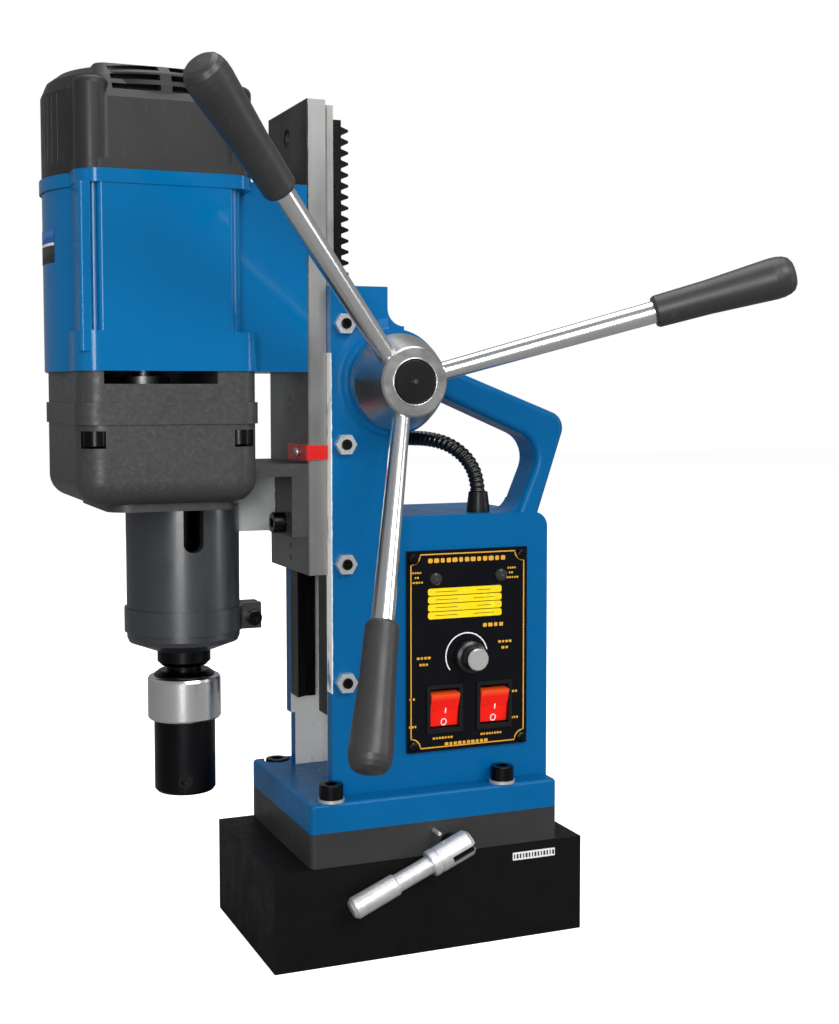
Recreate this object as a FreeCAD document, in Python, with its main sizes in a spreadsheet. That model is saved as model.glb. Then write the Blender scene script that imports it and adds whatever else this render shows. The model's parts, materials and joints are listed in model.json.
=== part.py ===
import FreeCAD, Part

# Magnetic drill press on an electromagnet base, in millimetres.
# Frame: origin at the centre of the magnet's underside, +Z up, the drill spindle towards -X,
# the control panel and the feed handles on the -Y side.

import math
import os
import re

import Sketcher

V = FreeCAD.Vector
doc = FreeCAD.newDocument("magnetic_drill_press")

# ---------------------------------------------------------------- driving dimensions

DIMENSIONS = [
    # magnet and swivel base
    ("mag_len", 190.0, "magnet block length along X"),
    ("mag_wid", 115.0, "magnet block width along Y"),
    ("mag_ht", 55.8, "magnet block height"),
    ("coil_out", 34.0, "half width of the coil slot, outside"),
    ("coil_in", 20.0, "half width of the coil slot, inside"),
    ("coil_deep", 34.0, "depth of the coil slot from the underside"),
    ("swivel_gap", 0.1, "running gap between magnet and swivel plate"),
    ("swivel_thk", 19.5, "swivel plate thickness"),
    ("foot_min", -73.5, "drill side end of the foot, X"),
    ("foot_max", 79.2, "handle side end of the foot, X"),
    ("foot_half", 57.0, "half width of the foot"),
    ("foot_top", 91.6, "top of the foot, Z"),
    ("pivot_rad", 10.0, "radius of the swivel pivot"),
    ("bolt_out", 59.5, "foot bolts to the pivot on the drill side"),
    ("bolt_in", 46.3, "foot bolts to the pivot on the handle side"),
    ("bolt_half", 50.7, "foot bolts from the centre plane"),
    ("cam_x", 9.5, "X of the clamp cam"),
    ("cam_z", 62.4, "Z of the clamp cam"),
    ("cam_rad", 5.0, "radius of the clamp cam shaft"),
    ("lever_y", -70.0, "Y of the clamp lever's own axis"),
    # column casting
    ("way_face", -55.5, "X of the machined way faces"),
    ("col_half", 42.0, "half width of column and control box"),
    ("col_back", -14.0, "back of the column below the hub, X"),
    ("neck_back", -21.5, "back of the column above the hub, X"),
    ("col_top", 378.0, "top of the column, Z"),
    ("slot_half", 33.5, "half width of the channel"),
    ("slot_floor", -27.0, "X of the channel floor"),
    ("ledge_top", 124.0, "Z where the far wall steps back"),
    ("box_max", 80.0, "handle side end of the control box, X"),
    ("box_top", 248.5, "top of the control box, Z"),
    ("boss_rad", 30.0, "radius of the hub boss"),
    ("boss_face", -44.8, "Y of the hub boss face"),
    ("grip_back", -16.0, "Y of the carry handle's far face"),
    ("gland_x", 41.3, "X of the motor cable's gland on the control box"),
    ("entry_z", 360.0, "Z of the motor cable's entry in the motor housing"),
    ("gland_stub", 6.0, "radius of a cable gland's stub"),
    # dovetail slide
    ("rail_low", 136.0, "lower end of the guide rails, Z"),
    ("rail_deep", 12.0, "thickness of the guide rails along X"),
    ("neck_half", 19.0, "half width of the dovetail neck"),
    ("dove_run", 3.2, "widening of the dovetail"),
    ("dove_flank", 5.5, "depth of the dovetail flank"),
    ("dove_deep", 9.0, "depth of the whole dovetail"),
    ("fit_gap", 0.15, "running gap of the slide"),
    ("slide_thk", 11.1, "slide plate thickness"),
    ("slide_half", 35.5, "half width of the slide plate"),
    ("slide_low", 216.5, "lower end of the slide plate, Z"),
    ("slide_high", 480.1, "upper end of the slide plate, Z"),
    # rack and pinion
    ("rack_mod", 2.0, "module of rack and pinion"),
    ("rack_half", 7.5, "half width of the rack"),
    ("rack_pitch_x", -33.9, "X of the rack's pitch line"),
    ("pinion_teeth", 15.0, "teeth of the feed pinion"),
    ("hub_x", -18.9, "X of the feed shaft"),
    ("hub_z", 324.6, "Z of the feed shaft"),
    ("feed_rad", 10.0, "radius of the feed shaft"),
    ("bush_rad", 18.0, "outer radius of the feed bushes"),
    # head
    ("case_min", -197.4, "drill side end of the gear case, X"),
    ("case_max", -99.2, "slide side end of the gear case, X"),
    ("case_half", 57.5, "half width of the gear case"),
    ("case_low", 256.0, "underside of the gear case, Z"),
    ("case_split", 302.4, "joint between the gear case halves, Z"),
    ("case_top", 330.3, "top of the gear case, Z"),
    ("motor_top", 433.0, "top of the motor housing, Z"),
    ("cap_top", 491.0, "top of the motor cap, Z"),
    ("motor_min", -195.4, "drill side end of the motor's corner posts, X"),
    ("motor_max", -102.4, "slide side end of the motor cap, X"),
    ("barrel_rad", 53.6, "outer radius of the motor's round barrel"),
    ("spin_x", -129.8, "X of the spindle"),
    ("motor_x", -150.8, "X of the motor shaft"),
    ("motor_rad", 41.0, "radius of the motor's bore in its housing"),
    ("lay_x", -142.2, "X of the layshaft"),
    ("lay_y", 24.5, "Y of the layshaft"),
    ("quill_rad", 31.7, "radius of the quill sleeve"),
    ("quill_low", 174.0, "lower end of the quill sleeve, Z"),
    ("arbor_rad", 17.2, "radius of the arbor"),
    ("arbor_low", 93.5, "lower end of the arbor, Z"),
    ("shank_rad", 9.55, "radius of the cutter shank bore"),
    ("shank_deep", 34.0, "depth of the cutter shank bore"),
    ("bolt_sink", 9.0, "depth of the far foot bolts below the foot's top"),
    ("arm_tilt", 24.5, "tilt of the feed arms away from the column, degrees"),
    ("arm_one", 17.0, "direction of the first feed arm above +X, degrees"),
    ("arm_two", 133.8, "direction of the second feed arm above +X, degrees"),
    ("arm_three", 253.6, "direction of the third feed arm above +X, degrees"),
    ("arm_rad", 5.2, "radius of the feed arms"),
    ("arm_len", 141.5, "feed shaft axis to the grip along an arm"),
    ("grip_len", 78.0, "length of a feed grip"),
]

sheet = doc.addObject("Spreadsheet::Sheet", "dims")
for row, (alias, value, note) in enumerate(DIMENSIONS, start=1):
    sheet.set("A%d" % row, note)
    sheet.set("B%d" % row, str(value))
    sheet.setAlias("B%d" % row, alias)
doc.recompute()

ALIASES = {alias for alias, _, _ in DIMENSIONS}
SIZE = {alias: value for alias, value, _ in DIMENSIONS}
nodes = []


# ---------------------------------------------------------------- building helpers

def bound(expression):
    """Rewrite the dimension names of an expression so that they read the sheet."""
    return re.sub(r"[a-z][a-z_]+", lambda m: "dims." + m.group(0) if m.group(0) in ALIASES else m.group(0),
                  str(expression))


def node(feature, label):
    """Declare a finished sub-part: its label names its file."""
    feature.Label = label
    nodes.append(feature)
    return feature


def place(feature, at=(0, 0, 0), along=(0, 0, 1), turn=0):
    """Put a feature's own +Z along a direction, turned about it, at a point of the sheet."""
    swing = FreeCAD.Rotation(V(0, 0, 1), V(*along))
    feature.Placement = FreeCAD.Placement(V(0, 0, 0), swing * FreeCAD.Rotation(V(0, 0, 1), turn))
    for axis, expression in zip("xyz", at):
        feature.setExpression("Placement.Base." + axis, bound(expression))
    return feature


def block(name, x_span, y_span, z_span):
    """Box between pairs of coordinates."""
    feature = doc.addObject("Part::Box", name)
    for side, span in zip(("Length", "Width", "Height"), (x_span, y_span, z_span)):
        feature.setExpression(side, bound("(%s) - (%s)" % (span[1], span[0])))
    return place(feature, (x_span[0], y_span[0], z_span[0]))


def rod(name, radius, length, at, along=(0, 0, 1)):
    """Cylinder from a point along a direction."""
    feature = doc.addObject("Part::Cylinder", name)
    feature.setExpression("Radius", bound(radius))
    feature.setExpression("Height", bound(length))
    return place(feature, at, along)


def cut(name, base, *tools):
    """Take tools away from a base, one after another."""
    for number, tool in enumerate(tools):
        feature = doc.addObject("Part::Cut", "%s_%d" % (name, number))
        feature.Base = base
        feature.Tool = tool
        base = feature
    return base


def fuse(name, *shapes):
    """Join shapes into one solid."""
    feature = doc.addObject("Part::MultiFuse", name)
    feature.Shapes = list(shapes)
    feature.Refine = True
    return feature


def outline(body, plane, points):
    """Closed polygon on an origin plane of a body, each corner bound to the sheet."""
    sketch = body.newObject("Sketcher::SketchObject", body.Name + "_sketch")
    support = [item for item in body.Origin.OriginFeatures if item.Role == plane][0]
    sketch.AttachmentSupport = (support, "")
    sketch.MapMode = "FlatFace"
    guess = [V(*[float(sheet_value(c)) for c in corner], 0) for corner in points]
    for start, end in zip(guess, guess[1:] + guess[:1]):
        sketch.addGeometry(Part.LineSegment(start, end), False)
    last = len(points) - 1
    for side in range(len(points)):
        following = 0 if side == last else side + 1
        sketch.addConstraint(Sketcher.Constraint("Coincident", side, 2, following, 1))
    for side, corner in enumerate(points):
        for kind, expression in zip(("DistanceX", "DistanceY"), corner):
            index = sketch.addConstraint(
                Sketcher.Constraint(kind, -1, 1, side, 1, float(sheet_value(expression))))
            sketch.setExpression("Constraints[%d]" % index, bound(expression))
    return sketch


def sheet_value(expression):
    """Value of an expression of dimension names."""
    return FreeCAD.Units.Quantity(
        re.sub(r"[a-z][a-z_]+", lambda m: "(%r)" % SIZE[m.group(0)] if m.group(0) in SIZE else m.group(0),
               str(expression))).Value


def turned(name, profile, at=(0, 0, 0), along=(0, 0, 1), turn=0):
    """Turned piece: (radius, height) corners revolved about its own Z."""
    body = doc.addObject("PartDesign::Body", name)
    sketch = outline(body, "XZ_Plane", profile)
    lathe = body.newObject("PartDesign::Revolution", name + "_turn")
    lathe.Profile = sketch
    lathe.ReferenceAxis = (sketch, ["V_Axis"])
    lathe.Angle = 360
    sketch.Visibility = False
    return place(body, at, along, turn)


def prism(name, plane, points, length, at=(0, 0, 0)):
    """Padded polygon, symmetric about its own plane."""
    body = doc.addObject("PartDesign::Body", name)
    sketch = outline(body, plane, points)
    pad = body.newObject("PartDesign::Pad", name + "_pad")
    pad.Profile = sketch
    pad.setExpression("Length", bound(length))
    pad.Midplane = True
    return place(body, at)


def mirrored(name, base):
    """Copy of a shape on the other side of the machine's centre plane."""
    feature = doc.addObject("Part::Mirroring", name)
    feature.Source = base
    feature.Normal = V(0, 1, 0)
    return feature


def rounded(name, base, radius, chosen):
    """Fillet the edges that a test of their middle point and direction picks."""
    doc.recompute()
    picked = []
    for number, edge in enumerate(base.Shape.Edges, start=1):
        middle = edge.valueAt((edge.FirstParameter + edge.LastParameter) / 2)
        tangent = edge.tangentAt((edge.FirstParameter + edge.LastParameter) / 2)
        if chosen(middle, tangent, edge):
            picked.append((number, radius, radius))
    feature = doc.addObject("Part::Fillet", name)
    feature.Base = base
    feature.Edges = picked
    return feature


def upright(middle, tangent, edge):
    """True for a straight vertical edge."""
    return abs(tangent.z) > 0.99


def solid(label, shape):
    """Sub-part whose shape is worked out directly from the sheet's sizes."""
    feature = doc.addObject("Part::Feature", label)
    feature.Shape = shape
    return node(feature, label)


def group(label, pattern, spots, along=(0, 0, 1)):
    """Identical pieces in one node: a pattern body repeated at several places."""
    doc.recompute()
    swing = FreeCAD.Rotation(V(0, 0, 1), V(*along))
    copies = []
    for spot in spots:
        copy = pattern.Shape.copy()
        copy.Placement = FreeCAD.Placement(V(*spot), swing)
        copies.append(copy)
    return solid(label, Part.makeCompound(copies))


def cap_screw(name, thread, length):
    """Socket head cap screw, its head's underside at Z 0 and its shank below."""
    head = 0.85 * thread * 2
    blank = turned(name, [(0, -length), (thread, -length), (thread, 0), (head, 0),
                          (head, 1.9 * thread), (head - 0.5, 2 * thread), (0, 2 * thread)])
    return cut(name + "_screw", blank, hexagon(name + "_socket", thread * 0.95, thread * 1.3, thread))


def hexagon(name, radius, height, z_low):
    """Six-sided prism about Z."""
    feature = doc.addObject("Part::Prism", name)
    feature.Polygon = 6
    feature.Circumradius = radius
    feature.Height = height
    feature.Placement.Base = V(0, 0, z_low)
    return feature


# ---------------------------------------------------------------- gear teeth

def flank_angle(radius, base_radius):
    """Involute function at a radius."""
    if radius <= base_radius:
        return 0.0
    pressure = math.acos(base_radius / radius)
    return math.tan(pressure) - pressure


def gear(module, teeth, width, phase, bore, backlash=0.12):
    """Spur gear with involute flanks, one tooth centred on the phase angle."""
    pitch_radius = module * teeth / 2
    base_radius = pitch_radius * math.cos(math.radians(20))
    tip_radius = pitch_radius + module * 0.95
    root_radius = pitch_radius - module * 1.25
    half_tooth = math.pi / (2 * teeth) - backlash * module / pitch_radius
    at_base = half_tooth + flank_angle(pitch_radius, base_radius)
    steps = [base_radius + (tip_radius - base_radius) * k / 4 for k in range(5)]
    corners = []
    for tooth in range(teeth):
        centre = phase + 2 * math.pi * tooth / teeth
        rising = [(r, centre - at_base + flank_angle(r, base_radius)) for r in steps]
        falling = [(r, centre + at_base - flank_angle(r, base_radius)) for r in reversed(steps)]
        low = min(root_radius, base_radius - 0.02)
        corners += [(low, centre - at_base)] + rising + falling + [(low, centre + at_base)]
    points = [V(r * math.cos(a), r * math.sin(a), 0) for r, a in corners]
    face = Part.Face(Part.makePolygon(points + points[:1]))
    wheel = face.extrude(V(0, 0, width))
    if bore:
        wheel = wheel.cut(Part.makeCylinder(bore, width + 2, V(0, 0, -1)))
    return wheel


# ---------------------------------------------------------------- magnet base

def magnet_base():
    blank = block("magnet_block", ("-mag_len/2", "mag_len/2"), ("-mag_wid/2", "mag_wid/2"), (0, "mag_ht"))
    outer = block("coil_slot_out", ("-mag_len/2 + 20", "mag_len/2 - 20"),
                  ("-coil_out", "coil_out"), (-1, "coil_deep"))
    inner = block("coil_slot_in", ("-mag_len/2 + 34", "mag_len/2 - 34"),
                  ("-coil_in", "coil_in"), (-2, "coil_deep + 1"))
    pivot = rod("pivot_hole", "pivot_rad", 20, (0, 0, "mag_ht - 16"))
    slot = cut("coil_slot", outer, inner)
    node(cut("magnet_machined", blank, slot, pivot), "magnet_base")

    coil_out = block("coil_out_block", ("-mag_len/2 + 20.2", "mag_len/2 - 20.2"),
                     ("-coil_out + 0.2", "coil_out - 0.2"), (0.3, "coil_deep - 0.3"))
    coil_in = block("coil_in_block", ("-mag_len/2 + 33.8", "mag_len/2 - 33.8"),
                    ("-coil_in - 0.2", "coil_in + 0.2"), (-1, "coil_deep + 1"))
    node(cut("coil_ring", coil_out, coil_in), "magnet_coil")

    node(turned("pivot", [(0, 0), ("pivot_rad", 0), ("pivot_rad", 16), ("pivot_rad", 26),
                          (8, 26), (8, 34), (0, 34)], (0, 0, "mag_ht - 16")), "swivel_pivot")


def swivel_plate():
    plate = block("swivel_block", ("foot_min", "foot_max"), ("-foot_half", "foot_half"),
                  ("mag_ht + swivel_gap", "mag_ht + swivel_gap + swivel_thk"))
    bore = rod("swivel_bore", "pivot_rad + 0.05", 30, (0, 0, "mag_ht - 5"))
    cam = rod("cam_bore", "cam_rad + 0.05", 44, ("cam_x", "-foot_half - 1", "cam_z"), (0, 1, 0))
    pin = rod("pin_bore", 1.3, 9, (0.4, "-foot_half - 1", 69.8), (0, 1, 0))
    eased = rounded("swivel_eased", plate, 3.0, upright)
    tapped = [rod("foot_tapping_%d" % number, 4.0, 30, (x, y, "%s - 26.5" % foot_seat(y)))
              for number, (x, y) in enumerate(foot_spots())]
    node(cut("swivel_machined", eased, bore, cam, pin, *tapped), "swivel_plate")
    node(turned("pin", [(0, -8), (1.3, -8), (1.3, 7.5), (0.8, 8.3), (0, 8.5)],
                (0.4, "-foot_half", 69.8), (0, -1, 0)), "lever_stop_pin")


# ---------------------------------------------------------------- column

def handle_shape():
    """Carry handle: a bent bar from the hub boss down to the control box."""
    bar = doc.addObject("PartDesign::Body", "carry_handle")
    corners = [(-10, 343.5), (93.8, 303.6), (72.3, 240), (57.5, 240), (78, 288.6), (-10, 326)]
    sketch = outline(bar, "XZ_Plane", corners)
    pad = bar.newObject("PartDesign::Pad", "carry_handle_pad")
    pad.Profile = sketch
    pad.setExpression("Length", bound("col_half + grip_back"))
    place(bar, (0, "grip_back", 0))
    doc.recompute()
    outer = rounded("handle_bend_out", bar, 10.0,
                    lambda m, t, e: abs(t.y) > 0.99 and m.x > 85 and m.z > 280)
    inner = rounded("handle_bend_in", outer, 16.0,
                    lambda m, t, e: abs(t.y) > 0.99 and 70 < m.x < 82 and 280 < m.z < 292)
    return rounded("handle_eased", inner, 4.0,
                   lambda m, t, e: abs(t.y) < 0.5 and 5 < m.x and m.z > 241)


def handle_root():
    """Hollow curve where the handle's leg meets the control box."""
    wedge = block("root_wedge", (52.5, 64), ("-col_half + 3", "grip_back - 3"),
                  ("box_top - 2", "box_top + 7.5"))
    hollow = rod("root_hollow", 12.0, 40, (52.5, "-col_half - 5", "box_top + 12"), (0, 1, 0))
    return cut("handle_root", wedge, hollow)


def boss_blends():
    """Hollow curves from the hub boss into the column's neck and near face."""
    wedge = block("neck_wedge", ("neck_back - 2", "neck_back + 10"), ("-col_half", "col_half"),
                  ("hub_z + 26", "hub_z + 41"))
    hollow = rod("neck_hollow", 10.0, "2*col_half + 4", ("neck_back + 10", "-col_half - 2", "hub_z + 41.5"),
                 (0, 1, 0))
    flare = turned("boss_flare", [(0, 0), (36, 0), (33, 0.5), (31.2, 1.4), ("boss_rad", 2.8), (0, 2.8)],
                   ("hub_x", "-col_half", "hub_z"), (0, -1, 0))
    beyond = block("flare_trim", ("neck_back", 30), (-60, 0), (280, 370))
    return cut("neck_blend", wedge, hollow), cut("boss_flare_trimmed", flare, beyond)


def column_casting():
    foot = rounded("foot_eased",
                   block("foot_block", ("foot_min", "foot_max"), ("-foot_half", "foot_half"),
                         ("mag_ht + swivel_gap + swivel_thk", "foot_top")), 3.0, upright)
    foot = rounded("foot_top_eased", foot, 2.0, lambda m, t, e: m.z > SIZE["foot_top"] - 0.01)
    lower = block("column_low", ("way_face", "col_back"), ("-col_half", "col_half"),
                  ("foot_top - 5", "hub_z"))
    upper = block("column_high", ("way_face", "neck_back"), ("-col_half", "col_half"),
                  ("hub_z - 20", "col_top"))
    box = rounded("box_eased",
                  block("control_box", ("col_back - 8", "box_max"), ("-col_half", "col_half"),
                        ("foot_top - 5", "box_top")), 9.0,
                  lambda m, t, e: m.x > SIZE["box_max"] - 0.1 and m.z > SIZE["box_top"] - 0.1)
    boss = rod("hub_boss", "boss_rad", "col_half - boss_face", ("hub_x", "boss_face", "hub_z"), (0, 1, 0))
    body = fuse("casting_blank", foot, lower, upper, box, boss, handle_shape(), handle_root(), *boss_blends())

    channel = block("channel", ("way_face - 5", "slot_floor"), ("-slot_half", "slot_half"),
                    ("foot_top", "col_top + 5"))
    relief = block("wall_relief", ("way_face - 5", "way_face + 2.7"), (30, "col_half + 5"),
                   ("foot_top", "ledge_top"))
    bore = rod("bush_bore", "bush_rad", "2*col_half + 20", ("hub_x", "-col_half - 8", "hub_z"), (0, 1, 0))
    room = block("control_room", (-5, 60), ("-col_half - 2", "col_half - 6"), (121, 219))
    gland = rod("gland_hole", "gland_stub", 40, ("gland_x", -28, 215))
    inlet = rod("inlet_hole", "gland_stub", 20, (62, 0, 112), (1, 0, 0))
    inlet_way = block("inlet_way", (40, 70), (-6, 6), (106, 130))
    shapes = [channel, relief, bore, room, gland, inlet, inlet_way]
    for number, z in enumerate(gib_heights()):
        shapes.append(rod("gib_tapping_%d" % number, 3.0, 14, (-47.6, "-col_half - 1", z), (0, 1, 0)))
    for number, (x, y) in enumerate(foot_spots()):
        shapes.append(rod("foot_hole_%d" % number, 5.0, 40, (x, y, 60)))
        if y > 0:
            shapes.append(rod("foot_sink_%d" % number, 8.7, 12, (x, y, foot_seat(y))))
    node(cut("casting", body, *shapes), "column_casting")


def gib_heights():
    """Heights of the four gib screws."""
    return [156.0 + 67.0 * k for k in range(4)]


def foot_spots():
    """Places of the four foot bolts."""
    return [(x, y) for x in (-SIZE["bolt_out"], SIZE["bolt_in"])
            for y in (-SIZE["bolt_half"], SIZE["bolt_half"])]


def foot_seat(y):
    """Height of a foot bolt's seat: the far ones are counterbored."""
    return "foot_top" if y < 0 else "(foot_top - bolt_sink)"


def foot_fasteners():
    seats = [(x, y, float(sheet_value(foot_seat(y)))) for x, y in foot_spots()]
    screw = cap_screw("foot_bolt", 4.0, 25)
    group("foot_bolts", screw, [(x, y, seat + 1.8) for x, y, seat in seats])
    washer = turned("foot_washer", [(4.2, 0), (7.5, 0), (7.5, 1.8), (4.2, 1.8)])
    group("foot_washers", washer, seats)


def guide_rails():
    """Fixed rail on the far side and adjustable gib on the near side, both dovetailed."""
    mouth = "neck_half + fit_gap"
    wide = "neck_half + dove_run + fit_gap"
    profile = [("way_face", mouth), ("way_face + dove_flank", wide),
               ("way_face + dove_deep + 0.6", wide), ("way_face + rail_deep", wide),
               ("way_face + rail_deep", "slot_half"), ("way_face", "slot_half")]
    centre = ("rail_low/2 + col_top/2",)
    far = prism("far_rail", "XY_Plane", profile, "col_top - rail_low", (0, 0) + centre)
    node(far, "guide_rail")
    mirrored = [(x, "-(%s)" % y) for x, y in profile[:4]]
    mirrored += [("way_face + rail_deep", "-slot_half + 0.1"), ("way_face", "-slot_half + 0.1")]
    near = prism("near_rail", "XY_Plane", mirrored, "col_top - rail_low", (0, 0) + centre)
    node(near, "gib_strip")
    screw = turned("gib_screw", [(0, 0), (2.95, 0), (2.95, 13.4), (1.6, 13.4), (1.6, 10.4), (0, 10.4)])
    heights = gib_heights()
    start = -SIZE["slot_half"]
    group("gib_set_screws", screw, [(-47.6, start, z) for z in heights], (0, -1, 0))
    nut = hexagon("gib_nut_blank", 6.2, 4.0, 0)
    nut = cut("gib_nut", nut, rod("gib_nut_bore", 3.05, 6, (0, 0, -1)))
    group("gib_lock_nuts", nut, [(-47.6, -SIZE["col_half"], z) for z in heights], (0, -1, 0))


def control_panel():
    plate = block("panel_plate", (-10.6, 65.6), ("-col_half - 2", "-col_half"), (112, 228.5))
    holes = [rod("panel_pot_hole", 3.6, 6, (28, "-col_half - 4", 166), (0, 1, 0))]
    for number, x in enumerate(rocker_spots()):
        holes.append(block("rocker_hole_%d" % number, (x - 10.3, x + 10.3),
                           ("-col_half - 4", "-col_half + 2"), (124, 149.2)))
    for number, (x, z) in enumerate(lamp_spots()):
        holes.append(rod("lamp_hole_%d" % number, 2.5, 6, (x, "-col_half - 4", z), (0, 1, 0)))
    corner_spots = [(x, z) for x in (-7, 62) for z in (115.5, 224)]
    for number, (x, z) in enumerate(corner_spots):
        holes.append(rod("panel_screw_hole_%d" % number, 1.6, 6, (x, "-col_half - 4", z), (0, 1, 0)))
    node(cut("panel", plate, *holes), "control_panel")

    screw = turned("panel_screw", [(0, -1.9), (1.5, -1.9), (1.5, 0), (3.2, 0), (3.0, 1.1), (1.8, 1.9),
                                   (0, 1.9)])
    face = -SIZE["col_half"] - 2
    group("panel_screws", screw, [(x, face, z) for x, z in corner_spots], (0, -1, 0))

    lamp = turned("lamp", [(0, -8), (2.4, -8), (2.4, 0), (3.6, 0), (3.6, 1.2), (2.4, 2.4), (0, 3.0)])
    group("indicator_lamps", lamp, [(x, face, z) for x, z in lamp_spots()], (0, -1, 0))

    bezels = []
    for x in rocker_spots():
        rim = Part.makeBox(22.6, 1.4, 28, V(x - 11.3, face - 1.4, 122.6))
        can = Part.makeBox(20.4, 20, 25.0, V(x - 10.2, face, 124.1))
        well = Part.makeBox(18.4, 18, 23.0, V(x - 9.2, face - 3, 125.3))
        bezels.append(rim.fuse(can).cut(well))
    solid("rocker_bezels", Part.makeCompound(bezels))

    board = block("board_plate", (-2, 57), ("-col_half + 24", "-col_half + 25.6"), (155, 216))
    chips = [block("choke", (2, 18), ("-col_half + 25.6", "-col_half + 40"), (160, 176)),
             block("heat_sink", (26, 50), ("-col_half + 25.6", "-col_half + 45"), (184, 210)),
             block("capacitor", (30, 44), ("-col_half + 25.6", "-col_half + 38"), (160, 176))]
    node(fuse("board", board, *chips), "control_board")


def rocker_spots():
    """X of the two rocker switches."""
    return (12.4, 44.0)


def lamp_spots():
    """Places of the two indicator lamps on the panel."""
    return ((7.0, 212.0), (48.5, 212.5))


ROCKER_TILT = 13.0


def rockers():
    """Two rockers with hollow faces, each hinged at the middle of its bezel, the top proud."""
    pivot = V(0, 3 - SIZE["col_half"] - 2, 136)
    profile = [(3.9, 10.4), (2.9, 0), (3.9, -9.2), (-3.0, -8.8), (-6.0, -5.0), (-6.0, 5.0), (-3.0, 9.8)]
    for label, x in zip(("drill_rocker", "magnet_rocker"), rocker_spots()):
        points = [V(0, -out, up) for out, up in profile]
        rocker = Part.Face(Part.makePolygon(points + points[:1])).extrude(V(17.6, 0, 0))
        rocker.rotate(V(0, 0, 0), V(1, 0, 0), ROCKER_TILT)
        rocker.translate(pivot + V(x - 8.8, 0, 0))
        solid(label, rocker)


def speed_control():
    knob = turned("knob", [(0, 1.0), (9.5, 1.0), (9.2, 4.5), (7.4, 5.2), (6.4, 13.2), (5.8, 13.8), (0, 13.8)],
                  (28, "-col_half - 2", 166), (0, -1, 0))
    shaft = rod("knob_bore", 3.0, 9, (28, "-col_half - 9.5", 166), (0, 1, 0))
    node(cut("knob_bored", knob, shaft), "speed_knob")
    node(turned("pot", [(0, -24), (8.5, -24), (8.5, -10), (3.5, -10), (3.5, 0.4), (2.95, 0.4),
                        (2.95, 7), (0, 7)], (28, "-col_half - 2", 166), (0, -1, 0)), "speed_potentiometer")


def cable_fittings():
    """One kind of gland for the motor cable at both ends and for the mains lead."""
    gland = turned("gland", [(3.6, -8), ("gland_stub", -8), ("gland_stub", 0), (6.8, 0), (6.8, 2.5),
                             (5.6, 12), (4.6, 12), (4.6, 5), (3.6, 5)])
    doc.recompute()
    up = gland.Shape.copy()
    up.translate(V(SIZE["gland_x"], -28, SIZE["box_top"]))
    out = gland.Shape.copy()
    out.Placement = FreeCAD.Placement(V(SIZE["box_max"], 0, 112), FreeCAD.Rotation(V(0, 0, 1), V(1, 0, 0)))
    solid("box_glands", Part.makeCompound([up, out]))
    entry = gland.Shape.copy()
    entry.Placement = FreeCAD.Placement(V(SIZE["motor_max"], 46, SIZE["entry_z"]),
                                        FreeCAD.Rotation(V(0, 0, 1), V(1, 0, 0)))
    solid("motor_cable_gland", entry)


# ---------------------------------------------------------------- motor cable

CABLE_RADIUS = 4.4
CABLE_ROUTE = [(41.3, -28, 253.5), (41.3, -28, 266.5), (36, -26, 279.5), (26.5, -19.5, 288.5),
               (17.5, -8.5, 291.5), (11.5, 5, 291.5), (9, 21, 291.5), (8.5, 38, 293.5), (3, 54.5, 302),
               (-10, 65, 315.5), (-28, 68.5, 331), (-48, 62.5, 346.5), (-66, 52.5, 356.5), (-83, 46, 360),
               (-97.4, 46, 360)]


def cable_line(points):
    """Straight runs joined by the largest tangent arcs that the runs allow."""
    corners = [V(*p) for p in points]
    edges = []
    start = corners[0]
    radii = []
    for before, corner, after in zip(corners, corners[1:], corners[2:]):
        back = before - corner
        ahead = after - corner
        turn = math.pi - back.getAngle(ahead)
        reach = 0.45 * min(back.Length, ahead.Length)
        radii.append(reach / math.tan(turn / 2))
        first = corner + back.normalize() * reach
        last = corner + ahead.normalize() * reach
        inward = (back + ahead).normalize()
        middle = corner + inward * (radii[-1] / math.cos(turn / 2) - radii[-1])
        edges.append(Part.LineSegment(start, first).toShape())
        edges.append(Part.Arc(first, middle, last).toShape())
        start = last
    edges.append(Part.LineSegment(start, corners[-1]).toShape())
    return Part.Wire(edges), radii


def motor_cable():
    path, radii = cable_line(CABLE_ROUTE)
    start, ahead = V(*CABLE_ROUTE[0]), V(*CABLE_ROUTE[1])
    section = Part.Wire(Part.Circle(start, (ahead - start).normalize(), CABLE_RADIUS).toShape())
    tube = path.makePipeShell([section], True, False)
    expected = math.pi * CABLE_RADIUS ** 2 * path.Length
    print("motor cable: length %.1f, volume %.4f of section times length, radii %s"
          % (path.Length, tube.Volume / expected, [round(r, 1) for r in radii]))
    solid("motor_cable", tube)


# ---------------------------------------------------------------- clamp lever

LEVER_TILT = 23.0


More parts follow.
